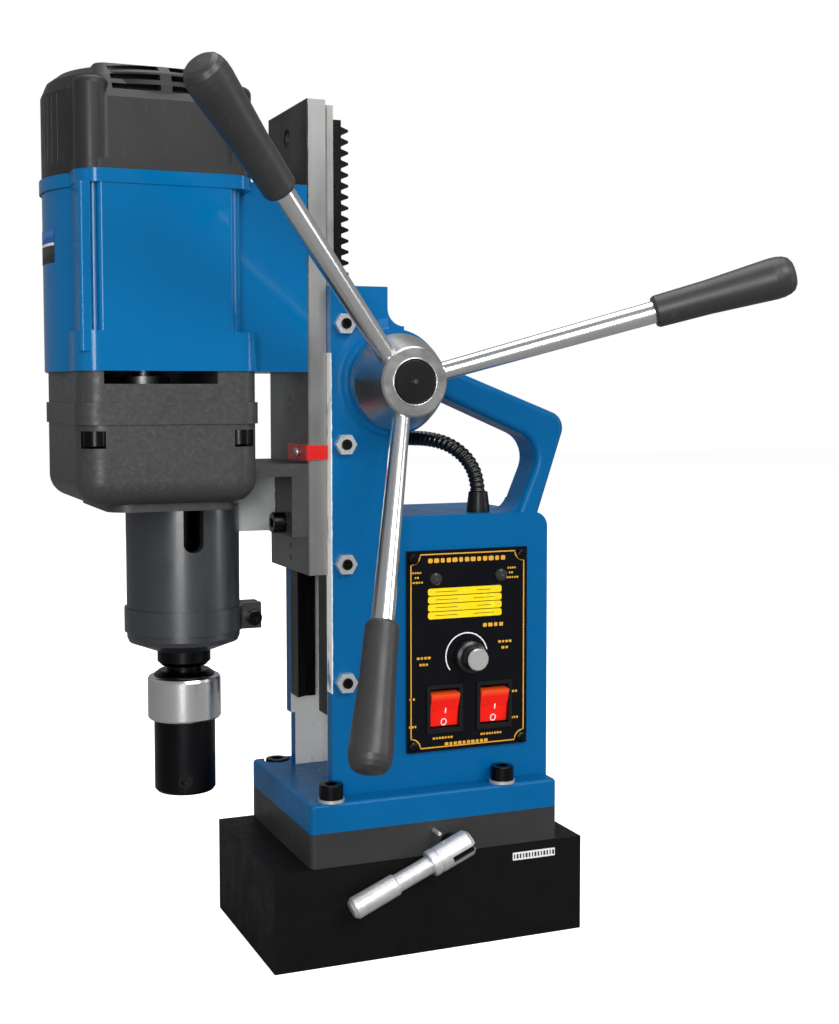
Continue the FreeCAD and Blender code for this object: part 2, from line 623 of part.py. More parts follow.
def clamp_lever():
    """Forked lever pinned over the flat tongue of the eccentric clamp shaft."""
    axis = FreeCAD.Rotation(V(0, 1, 0), -LEVER_TILT)
    shaft = turned("cam_shaft", [(0, -36), ("cam_rad", -36), ("cam_rad", 5.4), (0, 5.4)],
                   ("cam_x", "-foot_half", "cam_z"), (0, -1, 0))
    tongue = in_lever_frame("cam_tongue", axis, (-6.6, 7.0), (-3.7, 0.1), (-5.5, 8.0))
    node(fuse("cam", shaft, tongue), "clamp_cam")

    stem = turned("lever_stem", [(0, -69.7), (4.6, -69.7), (6.3, -67.6), (6.1, -41.6), (5.1, -40.4),
                                 (5.1, -18.9), (7.2, -18.9), (7.6, -18.2), (7.6, -15.0), (7.2, -14.6),
                                 (7.2, -14.0), (7.6, -13.6), (7.6, 6.2), (5.6, 8.5), (0, 8.5)],
                  ("cam_x", "lever_y", "cam_z"), tuple(axis.multVec(V(1, 0, 0))))
    fork = in_lever_frame("lever_fork", axis, (-7.1, 12.0), (-3.8, 0.2), (-9.0, 9.0))
    node(cut("lever_slotted", stem, fork), "clamp_lever")


def in_lever_frame(name, axis, along, across, through):
    """Box set square to the clamp lever, from spans along it, across it and through it along Y."""
    box = doc.addObject("Part::Box", name)
    box.Length = along[1] - along[0]
    box.Height = across[1] - across[0]
    box.Width = through[1] - through[0]
    corner = axis.multVec(V(along[0], through[0], across[0]))
    box.Placement = FreeCAD.Placement(V(0, 0, 0), axis)
    for letter, anchor, offset in zip("xyz", ("cam_x", "lever_y", "cam_z"), corner):
        box.setExpression("Placement.Base." + letter, bound("%s + %.6f" % (anchor, offset)))
    return box


# ---------------------------------------------------------------- feed hub

def arm_directions():
    """Unit directions of the three feed arms, leaning away from the column."""
    tilt = math.radians(SIZE["arm_tilt"])
    directions = []
    for name in ("arm_one", "arm_two", "arm_three"):
        angle = math.radians(SIZE[name])
        directions.append((math.cos(angle) * math.cos(tilt), -math.sin(tilt),
                           math.sin(angle) * math.cos(tilt)))
    return directions


def feed_hub():
    at = ("hub_x", -60, "hub_z")
    blank = turned("hub_blank", [(0, -14.4), (25.5, -14.4), (27, -13), (27, -6), (19.3, 14.6),
                                 (18.3, 15.6), (0, 15.6)], at, (0, -1, 0))
    sockets = [rod("arm_socket_%d" % number, "arm_rad", 40, at, direction)
               for number, direction in enumerate(arm_directions())]
    bore = rod("hub_bore", "feed_rad", 23, ("hub_x", -67, "hub_z"), (0, 1, 0))
    recess = rod("cap_recess", 12.4, 3, ("hub_x", -76.6, "hub_z"), (0, 1, 0))
    node(cut("hub_machined", blank, *sockets, bore, recess), "feed_hub")
    node(turned("cap", [(0, 0), (12.3, 0), (12.3, 2.0), (11.3, 3.0), (0, 3.4)],
                ("hub_x", -73.6, "hub_z"), (0, -1, 0)), "hub_cap")
    for number, direction in enumerate(arm_directions(), start=1):
        arm = turned("arm_%d" % number, [(0, 14.5), ("arm_rad - 0.6", 14.5), ("arm_rad", 15.5),
                                         ("arm_rad", 28), ("arm_rad + 0.9", "arm_len"),
                                         ("arm_rad", "arm_len"), ("arm_rad", "arm_len + 40"),
                                         (0, "arm_len + 40")], at, direction)
        node(arm, "feed_arm_%d" % number)
        grip = turned("grip_%d" % number, [("arm_rad", "arm_len"), (8.0, "arm_len"), (8.8, "arm_len + 1.5"),
                                           (9.4, "arm_len + 30"), (11.4, "arm_len + 66"),
                                           (11.2, "arm_len + 70"), (10.5, "arm_len + 73.2"),
                                           (9.2, "arm_len + 75.7"), (7.0, "arm_len + 77.2"),
                                           (0, "arm_len + grip_len"), (0, "arm_len + 40.2"),
                                           ("arm_rad", "arm_len + 40.2")], at, direction)
        node(grip, "feed_grip_%d" % number)


def pinion_shaft():
    """Feed shaft with its pinion cut in one piece."""
    teeth = int(SIZE["pinion_teeth"])
    phase = math.pi + math.pi / teeth
    wheel = gear(SIZE["rack_mod"], teeth, 16, phase, 0)
    wheel.rotate(V(0, 0, 0), V(1, 0, 0), 90)
    wheel.translate(V(0, 8, 0))
    shaft = Part.makeCylinder(SIZE["feed_rad"], 108, V(0, 41, 0), V(0, -1, 0))
    whole = wheel.fuse(shaft)
    whole.translate(V(SIZE["hub_x"], 0, SIZE["hub_z"]))
    solid("pinion_shaft", whole)
    bush = turned("feed_bush", [("feed_rad + 0.04", 0), ("bush_rad", 0), ("bush_rad", 26),
                                ("feed_rad + 0.04", 26)])
    x, z, half = SIZE["hub_x"], SIZE["hub_z"], SIZE["col_half"]
    group("pinion_bushes", bush, [(x, -half - 2.6 + 28.6, z), (x, half, z)], (0, -1, 0))


# ---------------------------------------------------------------- head slide

def slide_plate():
    profile = [("way_face - slide_thk", "-slide_half"), ("way_face - 0.2", "-slide_half"),
               ("way_face - 0.2", "-neck_half"), ("way_face + dove_flank", "-neck_half - dove_run"),
               ("way_face + dove_deep", "-neck_half - dove_run"),
               ("way_face + dove_deep", "neck_half + dove_run"),
               ("way_face + dove_flank", "neck_half + dove_run"), ("way_face - 0.2", "neck_half"),
               ("way_face - 0.2", "slide_half"), ("way_face - slide_thk", "slide_half")]
    bar = prism("slide_bar", "XY_Plane", profile, "slide_high - slide_low",
                (0, 0, "slide_low/2 + slide_high/2"))
    lifting = rod("lifting_hole", 5.2, 30, ("way_face - slide_thk - 1", 0, 464), (1, 0, 0))
    threads = [rod("slide_tapping_%d" % number, 3.5, 8, ("way_face - slide_thk - 1", y, 245.6), (1, 0, 0))
               for number, y in enumerate(bracket_bolt_rows())]
    pins = [rod("slide_pin_hole_%d" % number, 1.5, 4, ("way_face - slide_thk - 1", -2.5, z), (1, 0, 0))
            for number, z in enumerate((223.6, 230.6, 309, 315.3))]
    node(cut("slide_machined", bar, lifting, *threads, *pins), "slide_plate")


def feed_rack():
    """Rack screwed to the back of the dovetail, its teeth towards the pinion."""
    module = SIZE["rack_mod"]
    pitch = math.pi * module
    pitch_x = SIZE["rack_pitch_x"]
    back = SIZE["way_face"] + SIZE["dove_deep"]
    tip_x = pitch_x + module * 0.95
    root_x = pitch_x - module * 1.25
    low, high = SIZE["slide_low"] + 1.5, SIZE["slide_high"] - 5.0
    half_pitch_thick = pitch / 4 - 0.12 * module
    slope = math.tan(math.radians(20))
    points = [V(back, 0, low), V(root_x, 0, low)]
    first = math.ceil((low + 3.5 - SIZE["hub_z"]) / pitch)
    last = math.floor((high - 3.5 - SIZE["hub_z"]) / pitch)
    for number in range(first, last + 1):
        centre = SIZE["hub_z"] + number * pitch
        wide = half_pitch_thick + (pitch_x - root_x) * slope
        thin = half_pitch_thick - (tip_x - pitch_x) * slope
        points += [V(root_x, 0, centre - wide), V(tip_x, 0, centre - thin),
                   V(tip_x, 0, centre + thin), V(root_x, 0, centre + wide)]
    points += [V(root_x, 0, high), V(back, 0, high)]
    bar = Part.Face(Part.makePolygon(points + points[:1])).extrude(V(0, 2 * SIZE["rack_half"], 0))
    bar.translate(V(0, -SIZE["rack_half"], 0))
    solid("feed_rack", bar)


def depth_pointer():
    """Red pointer folded round the slide's near edge."""
    face = SIZE["way_face"] - SIZE["slide_thk"]
    near = -SIZE["slide_half"]
    along_front = Part.makeBox(1.5, 34, 9, V(face - 1.5, near - 1.5, 281))
    along_side = Part.makeBox(12.3, 1.5, 8, V(face - 1.5, near - 1.5, 281.5))
    solid("depth_pointer", along_front.fuse(along_side))


# ---------------------------------------------------------------- motor and gear case

def case_outline(name, inset, z_low, z_high, corner):
    """Rounded rectangular length of the motor and gear case."""
    length = block(name, ("case_min + %s" % inset, "case_max - %s" % inset),
                   ("-case_half + %s" % inset, "case_half - %s" % inset), (z_low, z_high))
    return rounded(name + "_eased", length, corner, upright)


def post_spots():
    """Middle of each corner post of the motor, as X and Y."""
    return [(x, y) for x in (-186.8, -111.2) for y in (-47.8, 47.8)]


def motor_housing():
    top = "motor_top - 7"
    shapes = [case_outline("housing_collar", 0, "case_top", "case_top + 20.5", 12.0),
              rod("collar_round", "barrel_rad", 20.5, ("motor_x", 0, "case_top")),
              rod("barrel_round", "barrel_rad", 100, ("motor_x", 0, "case_top")),
              rod("rim_round", "barrel_rad + 1.4", 7, ("motor_x", 0, top)),
              rod("entry_boss", 9.0, 20, ("motor_max - 20", 46, "entry_z"), (1, 0, 0)),
              block("bracket", (-112, "way_face - slide_thk"), ("-slide_half", "slide_half"),
                    ("case_top", "motor_top"))]
    for name, x_span, half, z_high, corner in (
            ("housing_barrel", ("motor_min + 2", -108), 53.5, "motor_top - 4", 8.0),
            ("near_panel", (-186, -113.8), "case_half - 0.6", top, 3.0),
            ("housing_rim", ("motor_min - 0.4", "motor_max + 0.4"), "case_half", "motor_top", 12.0)):
        z_low = top if name == "housing_rim" else "case_top + 10"
        part = block(name, x_span, ("-(%s)" % half, half), (z_low, z_high))
        shapes.append(rounded(name + "_eased", part, corner, upright))
    post = block("far_post_block", ("motor_min", -188.8), (30, 57), ("case_top + 10", top))
    post = rounded("far_post", post, 2.0, upright)
    body = fuse("housing_blank", post, mirrored("near_post", post), *shapes)
    cavity = rod("housing_cavity", "motor_rad", 120, ("motor_x", 0, "case_top - 5"))
    entry = rod("entry_hole", "gland_stub", 30, ("motor_max - 8", 46, "entry_z"), (1, 0, 0))
    node(cut("housing", body, cavity, entry), "motor_housing")


def motor_cap():
    """Dark end cap: a round barrel with corner posts, sloped shoulders and cooling slots."""
    doc.recompute()
    top = SIZE["cap_top"]
    base = SIZE["motor_top"]
    centre = SIZE["motor_x"]
    rad = SIZE["barrel_rad"]
    middle = -148.5
    profile = [V(0, 0, base), V(rad, 0, base), V(rad, 0, top - 14), V(rad - 3, 0, top - 7),
               V(rad - 9, 0, top - 2.5), V(rad - 20, 0, top - 0.5), V(0, 0, top - 0.5), V(0, 0, base)]
    dome = Part.Face(Part.makePolygon(profile)).revolve(V(0, 0, 0), V(0, 0, 1), 360)
    dome.translate(V(centre, 0, 0))
    wires = [rounded_wire(middle, 36.5, 56.0, 6.0, base), rounded_wire(middle, 36.5, 56.0, 6.0, top - 21.5),
             rounded_wire(middle, 36.0, 47.0, 6.0, top - 9), rounded_wire(middle, 33.0, 33.0, 6.0, top)]
    shell = dome.fuse(Part.makeLoft(wires, True, True))
    lip = Part.Face(rounded_wire(middle, 46.6, 56.8, 12.0, base)).extrude(V(0, 0, 5))
    shell = shell.fuse(lip)
    for x, y in post_spots():
        post = Part.makeCylinder(9.0, top - 11 - base, V(x, y, base))
        shell = shell.fuse(post.makeFillet(4.0, [e for e in post.Edges if e.BoundBox.ZMin > base + 1]))
    shell = shell.removeSplitter()
    floor = V(centre, 0, base - 2)
    shell = shell.cut(Part.makeCylinder(38, 36, floor)).cut(Part.makeCylinder(30, 49, floor))
    for side in (-1, 1):
        for row in range(3):
            for column in (-1, 1):
                corner = V(middle - 12.5 + 15.5 * column, side * (50.6 - 3.6 * row) - 8,
                           top - 16.9 + 5.7 * row)
                shell = shell.cut(Part.makeBox(25, 16, 3.2, corner))
    for number in range(7):
        angle = math.radians(168 + 6 * number)
        foot = V(centre + rad * math.cos(angle), rad * math.sin(angle), base + 7)
        groove = Part.makeCylinder(0.9, top - 22 - base, foot)
        shell = shell.cut(groove)
    solid("motor_cap", shell)


def rounded_wire(centre_x, half_x, half_y, radius, z):
    """Rounded rectangle as a closed wire at a height."""
    corners = [(1, 1), (-1, 1), (-1, -1), (1, -1)]
    edges = []
    ends = []
    for number, (sx, sy) in enumerate(corners):
        cx = centre_x + sx * (half_x - radius)
        cy = sy * (half_y - radius)
        begin = math.radians(90 * number)
        points = [V(cx + radius * math.cos(begin + a), cy + radius * math.sin(begin + a), z)
                  for a in (0, math.pi / 4, math.pi / 2)]
        ends.append((points[0], points[2]))
        edges.append(Part.Arc(*points).toShape())
    sides = []
    for number in range(4):
        sides.append(edges[number])
        sides.append(Part.LineSegment(ends[number][1], ends[(number + 1) % 4][0]).toShape())
    return Part.Wire(sides)


def gear_case():
    lower = case_outline("case_low_block", 0.8, "case_low + 4", "case_split", 14.0)
    lower = rounded("case_low_bend", lower, 13.0,
                    lambda m, t, e: m.z < SIZE["case_low"] + 4.1)
    floor = rounded("case_floor",
                    block("case_floor_block", ("case_min + 18", "case_max - 10"), (-46, 46),
                          ("case_low", "case_low + 12")), 12.0, upright)
    arm = block("arm_plate", ("case_max - 10", "way_face - slide_thk"), ("-slide_half", "slide_half"),
                (272.4, 279.4))
    flange = block("arm_flange", (-76.4, "way_face - slide_thk"), ("-slide_half", "slide_half"),
                   (238.5, 274))
    web = block("arm_web", (-101, -75), (-5, 5), (240, 274))
    body = fuse("case_low_blank", lower, floor, arm, flange, web)
    room = rounded("low_room_eased",
                   block("low_room", ("case_min + 5.8", "case_max - 5"),
                         ("-case_half + 6.5", "case_half - 6.5"), (278, "case_split + 1")), 9.0, upright)
    seat = rod("spindle_seat", 17.5, 30, ("spin_x", 0, 262))
    nose = rod("quill_seat", 27.4, 12, ("spin_x", 0, 250))
    lay = rod("lay_seat_low", 4.0, 8, ("lay_x", "lay_y", 272))
    sleeve = rod("sleeve_way", "quill_rad", 30, ("spin_x", 0, "case_low - 30"))
    cuts = [room, nose, seat, lay, sleeve]
    for number, (x, y) in enumerate(case_screw_spots()):
        cuts.append(rod("case_screw_well_%d" % number, 7.5, 9, (x, y, "case_split - 12.2")))
        cuts.append(rod("case_screw_way_%d" % number, 4.0, 5, (x, y, "case_split - 4")))
    for number, y in enumerate(bracket_bolt_rows()):
        cuts.append(rod("flange_hole_%d" % number, 3.5, 20, (-80, y, 245.6), (1, 0, 0)))
    node(cut("case_low", body, *cuts), "gear_case_lower")

    upper = case_outline("case_up_low", 0, "case_split", "case_top - 16.5", 12.0)
    neck = case_outline("case_up_high", 1.2, "case_split + 5", "case_top", 12.0)
    upper_body = fuse("case_up_blank", upper, neck)
    vent = block("case_vent", (-183.6, -123.6), ("-case_half - 5", 30),
                 ("case_top - 6.8", "case_top + 5"))
    high_room = rounded("high_room_eased",
                        block("high_room", ("case_min + 5.8", "case_max - 5"),
                              ("-case_half + 6.5", "case_half - 6.5"), ("case_split - 1", 316)), 9.0, upright)
    shaft_hole = rod("motor_shaft_hole", 13.0, 30, ("motor_x", 0, 310))
    lay_up = rod("lay_seat_high", 4.0, 5, ("lay_x", "lay_y", 315))
    threads = [rod("case_tapping_%d" % number, 4.0, 12, (x, y, "case_split - 2"))
               for number, (x, y) in enumerate(case_screw_spots())]
    node(cut("case_up", upper_body, vent, high_room, shaft_hole, lay_up, *threads), "gear_case_upper")

    screw = cap_screw("case_screw", 4.0, 13)
    group("gear_case_screws", screw, [(x, y, SIZE["case_split"] - 3.2) for x, y in case_screw_spots()],
          (0, 0, -1))


def bracket_bolt_rows():
    """Y of the two bolts that hold the head's flange to the slide."""
    return (-20, 20)


def case_screw_spots():
    """Places of the four screws that hold the gear case halves together."""
    return [(x, y) for x in (-187.2, -110.6) for y in (-50.4, 50.4)]


def quill():
    sleeve = turned("sleeve_blank", [(16.2, "quill_low"), ("quill_rad - 1", "quill_low + 5.5"),
                                     ("quill_rad", "quill_low + 8"), ("quill_rad", "case_low"),
                                     (27.4, "case_low"), (27.4, "case_low + 6"), (24, "case_low + 6"),
                                     (24, 200), (17.5, 198), (17.5, 182), (15.2, 181.8),
                                     (15.2, "quill_low")], ("spin_x", 0, 0))
    slot = block("coolant_slot", (-136.8, -125.8), (-40, -15), (231.6, "case_low + 2"))
    slot = rounded("slot_eased", slot, 5.0, lambda m, t, e: abs(t.y) > 0.99 and m.z < 240)
    node(cut("sleeve", sleeve, slot), "quill_sleeve")

    ring = turned("band_ring", [("quill_rad", 185.4), (33.1, 185.4), (33.1, 198.8), ("quill_rad", 198.8)],
                  ("spin_x", 0, 0))
    lug = block("band_lug", (-97.9, -86), (-7, 7), (184.2, 199))
    slit = block("band_slit", (-99, -84), (-1, 1), (180, 205))
    hole = rod("band_hole", 2.5, 30, (-91.2, -15, 190.8), (0, 1, 0))
    node(cut("band", fuse("band_blank", ring, lug), slit, hole), "clamp_band")
    screw = cap_screw("band_screw", 2.5, 17)
    group("clamp_band_screw", screw, [(-91.2, -7, 190.8)], (0, -1, 0))


def bearing(name, bore, outside, width):
    """Ball bearing as one closed ring with grooved faces."""
    ring = (outside - bore) / 3
    return turned(name, [(bore, 0), (bore + ring, 0), (bore + ring, 0.6), (outside - ring, 0.6),
                         (outside - ring, 0), (outside, 0), (outside, width), (outside - ring, width),
                         (outside - ring, width - 0.6), (bore + ring, width - 0.6),
                         (bore + ring, width), (bore, width)])


def head_internals():
    x = SIZE["spin_x"]
    spindle_bearing = bearing("spindle_bearing", 8.55, 17.5, 12)
    group("spindle_bearings", spindle_bearing, [(x, 0, 184), (x, 0, 262.5)])
    armature_bearing = bearing("armature_bearing", 6.05, 13.0, 9)
    group("armature_bearings", armature_bearing,
          [(SIZE["motor_x"], 0, 319), (SIZE["motor_x"], 0, 436.5)])
    stator = Part.makeCylinder(SIZE["motor_rad"] - 0.1, 46, V(0, 0, 356))
    stator = stator.cut(Part.makeCylinder(26.4, 48, V(0, 0, 355)))
    for angle in range(0, 360, 90):
        pocket = Part.makeBox(10, 14, 50, V(27, -7, 354))
        pocket.rotate(V(0, 0, 0), V(0, 0, 1), angle + 45)
        stator = stator.cut(pocket)
    stator.translate(V(SIZE["motor_x"], 0, 0))
    solid("field_stator", stator)
    bridge = Part.makeCylinder(SIZE["motor_rad"] - 0.1, 5, V(0, 0, 428))
    bridge = bridge.fuse(Part.makeCylinder(16, 18, V(0, 0, 428)))
    for side in (-1, 1):
        holder = Part.makeBox(9, 20, 16, V(-4.5, 17, 413))
        holder.rotate(V(0, 0, 0), V(0, 0, 1), 90 + 90 * side)
        bridge = bridge.fuse(holder)
    bridge = bridge.cut(Part.makeCylinder(13.0, 30, V(0, 0, 425)))
    bridge.translate(V(SIZE["motor_x"], 0, 0))
    solid("brush_bridge", bridge)
    bolt = cap_screw("bracket_bolt", 3.5, 16)
    group("bracket_bolts", bolt, [(-76.4, y, 245.6) for y in bracket_bolt_rows()], (-1, 0, 0))


def motor_rotor():
    pinion_phase = math.atan2(SIZE["lay_y"], SIZE["lay_x"] - SIZE["motor_x"])
    pinion = gear(1.0, 11, 9, pinion_phase, 0)
    pinion.translate(V(0, 0, 305))
    shaft = Part.makeCylinder(4.0, 12, V(0, 0, 307))
    shaft = shaft.fuse(Part.makeCylinder(6.0, 128, V(0, 0, 318)))
    core = Part.makeCylinder(26.0, 46, V(0, 0, 356))
    for number in range(12):
        slot = Part.makeBox(6, 1.6, 50, V(22, -0.8, 354))
        slot.rotate(V(0, 0, 0), V(0, 0, 1), 30 * number)
        core = core.cut(slot)
    windings = Part.makeCone(12, 24, 6, V(0, 0, 350)).fuse(Part.makeCone(24, 14, 7, V(0, 0, 402)))
    commutator = Part.makeCylinder(15.5, 17, V(0, 0, 409))
    armature = pinion.fuse([shaft, core, windings, commutator])
    armature.translate(V(SIZE["motor_x"], 0, 0))
    solid("armature", armature)
    fan = Part.makeCylinder(32, 2, V(0, 0, 336)).fuse(Part.makeCylinder(10, 10, V(0, 0, 336)))
    for number in range(12):
        blade = Part.makeBox(24, 1.4, 9, V(9, -0.7, 336))
        blade.rotate(V(0, 0, 0), V(0, 0, 1), 30 * number)
        fan = fan.fuse(blade)
    fan = fan.common(Part.makeCylinder(33, 20, V(0, 0, 330)))
    fan = fan.cut(Part.makeCylinder(6.0, 20, V(0, 0, 330)))
    fan.translate(V(SIZE["motor_x"], 0, 0))
    solid("cooling_fan", fan)


def layshaft():
    to_motor = math.atan2(-SIZE["lay_y"], SIZE["motor_x"] - SIZE["lay_x"])
    to_spindle = math.atan2(-SIZE["lay_y"], SIZE["spin_x"] - SIZE["lay_x"])
    wheel = gear(1.0, 41, 8, to_motor + math.pi / 41, 0)
    wheel.translate(V(0, 0, 305.5))
    pinion = gear(1.25, 12, 17, to_spindle, 0)
    pinion.translate(V(0, 0, 283))
    shaft = Part.makeCylinder(3.94, 45, V(0, 0, 273.5))
    boss = Part.makeCylinder(8, 8, V(0, 0, 299))
    whole = wheel.fuse([pinion, shaft, boss])
    whole.translate(V(SIZE["lay_x"], SIZE["lay_y"], 0))
    solid("layshaft_gears", whole)


GRUB_AIM = (-0.235, -0.972, 0)


def spindle():
    x = SIZE["spin_x"]
    node(turned("spindle_bar", [(0, 140), (9.8, 140), (9.8, 164.8), (12.6, 165.2), (15, 167.6), (15, 180.5),
                                (8.5, 180.5), (8.5, 299), (0, 299)], ("spin_x", 0, 0)), "spindle")
    to_lay = math.atan2(SIZE["lay_y"], SIZE["lay_x"] - SIZE["spin_x"])
    wheel = gear(1.25, 32, 12, to_lay + math.pi / 32, 8.5)
    wheel.translate(V(x, 0, 285))
    solid("spindle_gear", wheel)

    blank = turned("arbor_blank", [(0, "arbor_low"), ("arbor_rad - 1.2", "arbor_low"),
                                   ("arbor_rad", "arbor_low + 1.5"), ("arbor_rad", 160.2),
                                   (14.2, 162.4), (0, 162.4)], ("spin_x", 0, 0))
    shank = rod("shank_bore", "shank_rad", "shank_deep + 5", ("spin_x", 0, "arbor_low - 5"))
    socket = rod("spindle_socket", 9.8, 30, ("spin_x", 0, 140))
    coolant = rod("coolant_bore", 4, 40, ("spin_x", 0, "arbor_low + 20"))
    aim = V(*GRUB_AIM)
    middle = V(x, 0, 101.5)
    screw_way = rod("arbor_screw_hole", 4.2, 40, tuple(middle - aim * 20), GRUB_AIM)
    node(cut("arbor_machined", blank, shank, coolant, socket, screw_way), "arbor")
    node(turned("collar_ring", [("arbor_rad", 135), (19.8, 135), (20.6, 136), (20.6, 157.4), (19.9, 158.8),
                                (18.4, 159.4), ("arbor_rad", 159.6)], ("spin_x", 0, 0)), "arbor_collar")
    grub = turned("grub_screw", [(0, 0), (4.15, 0), (4.15, 5.4), (2.2, 5.4), (2.2, 2.5), (0, 2.5)])
    doc.recompute()
    near = grub.Shape.copy()
    near.Placement = FreeCAD.Placement(middle + aim * 11, FreeCAD.Rotation(V(0, 0, 1), aim))
    far = grub.Shape.copy()
    far.Placement = FreeCAD.Placement(middle - aim * 11, FreeCAD.Rotation(V(0, 0, 1), aim * -1))
    solid("arbor_grub_screws", Part.makeCompound([near, far]))


# ---------------------------------------------------------------- assembly

magnet_base()
swivel_plate()
column_casting()
foot_fasteners()
guide_rails()
control_panel()
rockers()
speed_control()
cable_fittings()
motor_cable()
clamp_lever()
feed_hub()
pinion_shaft()
slide_plate()
feed_rack()
depth_pointer()
motor_housing()
motor_cap()
gear_case()
quill()
head_internals()
motor_rotor()
layshaft()
spindle()
doc.recompute()

for item in doc.Objects:
    if "Invalid" in item.State or "Error" in item.State:
        raise RuntimeError("%s did not compute: %s" % (item.Name, item.State))

os.makedirs("parts", exist_ok=True)
for part in nodes:
    shape = part.Shape
    if shape.isNull() or not shape.isValid() or not shape.Solids:
        raise RuntimeError("%s has no valid solid" % part.Label)
    shape.exportStep("parts/%s.step" % part.Label)
    print("%-22s solids %d volume %.0f" % (part.Label, len(shape.Solids), shape.Volume))
print(len(nodes), "nodes")
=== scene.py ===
import json
import math

import bpy
from mathutils import Matrix, Vector
from mathutils.bvhtree import BVHTree


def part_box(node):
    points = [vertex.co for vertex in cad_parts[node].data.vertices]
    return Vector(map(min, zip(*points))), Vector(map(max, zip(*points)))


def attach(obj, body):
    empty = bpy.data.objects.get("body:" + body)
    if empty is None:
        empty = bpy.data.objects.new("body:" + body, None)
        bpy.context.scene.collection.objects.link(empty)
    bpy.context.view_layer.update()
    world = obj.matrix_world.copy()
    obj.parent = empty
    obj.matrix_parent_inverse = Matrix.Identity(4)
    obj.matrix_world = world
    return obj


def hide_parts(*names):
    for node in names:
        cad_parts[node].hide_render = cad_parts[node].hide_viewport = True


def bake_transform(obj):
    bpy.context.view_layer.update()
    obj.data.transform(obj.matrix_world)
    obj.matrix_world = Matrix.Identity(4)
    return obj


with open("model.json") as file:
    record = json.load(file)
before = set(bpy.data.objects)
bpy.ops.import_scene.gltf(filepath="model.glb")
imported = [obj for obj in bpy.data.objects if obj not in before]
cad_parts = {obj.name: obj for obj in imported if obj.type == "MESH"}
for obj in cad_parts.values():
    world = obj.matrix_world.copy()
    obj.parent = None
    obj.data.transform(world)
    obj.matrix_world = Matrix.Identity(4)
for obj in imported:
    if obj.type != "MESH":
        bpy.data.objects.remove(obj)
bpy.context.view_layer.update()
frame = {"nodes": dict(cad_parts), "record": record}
NODES = frame["nodes"]

# Everything is in metres: Z up, spindle towards -X, control panel and feed arms towards -Y.


# ---------------------------------------------------------------- camera, floor and lights

def camera():
    """Camera at the photograph's place and viewing angle."""
    azimuth, elevation, roll = math.radians(-21.98), math.radians(3.60), math.radians(-0.11)
    back = Vector((math.sin(azimuth) * math.cos(elevation),
                   -math.cos(azimuth) * math.cos(elevation), math.sin(elevation)))
    data = bpy.data.cameras.new("camera")
    data.sensor_width = 36.0
    data.lens = 51.23
    data.shift_x = 0.0236
    data.shift_y = -0.0262
    data.clip_start = 0.02
    eye = bpy.data.objects.new("camera", data)
    bpy.context.collection.objects.link(eye)
    eye.rotation_mode = "QUATERNION"
    aim = (-back).to_track_quat("-Z", "Y")
    eye.rotation_quaternion = aim @ Matrix.Rotation(roll, 3, "Z").to_quaternion()
    eye.location = (-0.3254, -0.8060, 0.3183)
    bpy.context.scene.camera = eye


def mesh_object(name, points, faces):
    """Linked object with a new mesh."""
    mesh = bpy.data.meshes.new(name)
    mesh.from_pydata(points, [], faces)
    made = bpy.data.objects.new(name, mesh)
    bpy.context.collection.objects.link(made)
    return made


FLOOR_REACH = 6.0
LIGHT_AIM = Vector((-0.05, 0, 0.25))
SOFT_BOXES = [  # name, place, width and height, watts, seen in reflections
    ("key", (0.5, -2.0, 1.7), (1.5, 0.9), 36, True),
    ("front", (-0.95, -2.25, 0.45), (0.55, 1.3), 30, True),
    ("fill", (-2.0, -0.9, 0.9), (0.7, 1.5), 13, False),
    ("top", (0.1, 0.1, 2.2), (1.6, 1.6), 22, True),
    ("edge", (1.7, -0.9, 0.5), (0.3, 1.4), 6, True),
    ("back", (0.3, 2.2, 1.0), (1.8, 1.4), 16, False),
]


def studio():
    """Pale floor, white surroundings and soft boxes."""
    signs = ((-1, -1), (1, -1), (1, 1), (-1, 1))
    corners = [(x * FLOOR_REACH, y * FLOOR_REACH, 0) for x, y in signs]
    floor = mesh_object("floor", corners, [(0, 1, 2, 3)])
    floor.data.materials.append(floor_paint())

    backdrop()
    for settings in SOFT_BOXES:
        soft_box(*settings)
    bpy.context.scene.view_settings.view_transform = "Standard"


def floor_paint():
    """White to the camera, and grey to other rays, so that it throws little light up."""
    paint = bpy.data.materials.new("floor_paint")
    paint.use_nodes = True
    tree = paint.node_tree
    seen = tree.nodes["Principled BSDF"]
    seen.inputs["Base Color"].default_value = (0.86, 0.86, 0.86, 1)
    seen.inputs["Roughness"].default_value = 0.85
    seen.inputs["Emission Color"].default_value = (1, 1, 1, 1)
    seen.inputs["Emission Strength"].default_value = 0.76
    reflected = tree.nodes.new("ShaderNodeBsdfDiffuse")
    reflected.inputs["Color"].default_value = (0.22, 0.22, 0.22, 1)
    split_rays(tree, reflected.outputs[0], seen.outputs[0], tree.nodes["Material Output"])
    return paint


def split_rays(tree, lit, seen, output):
    """Shader for the camera's own rays, and another one for every other ray."""
    path = tree.nodes.new("ShaderNodeLightPath")
    choice = tree.nodes.new("ShaderNodeMixShader")
    tree.links.new(path.outputs["Is Camera Ray"], choice.inputs[0])
    tree.links.new(lit, choice.inputs[1])
    tree.links.new(seen, choice.inputs[2])
    tree.links.new(choice.outputs[0], output.inputs["Surface"])


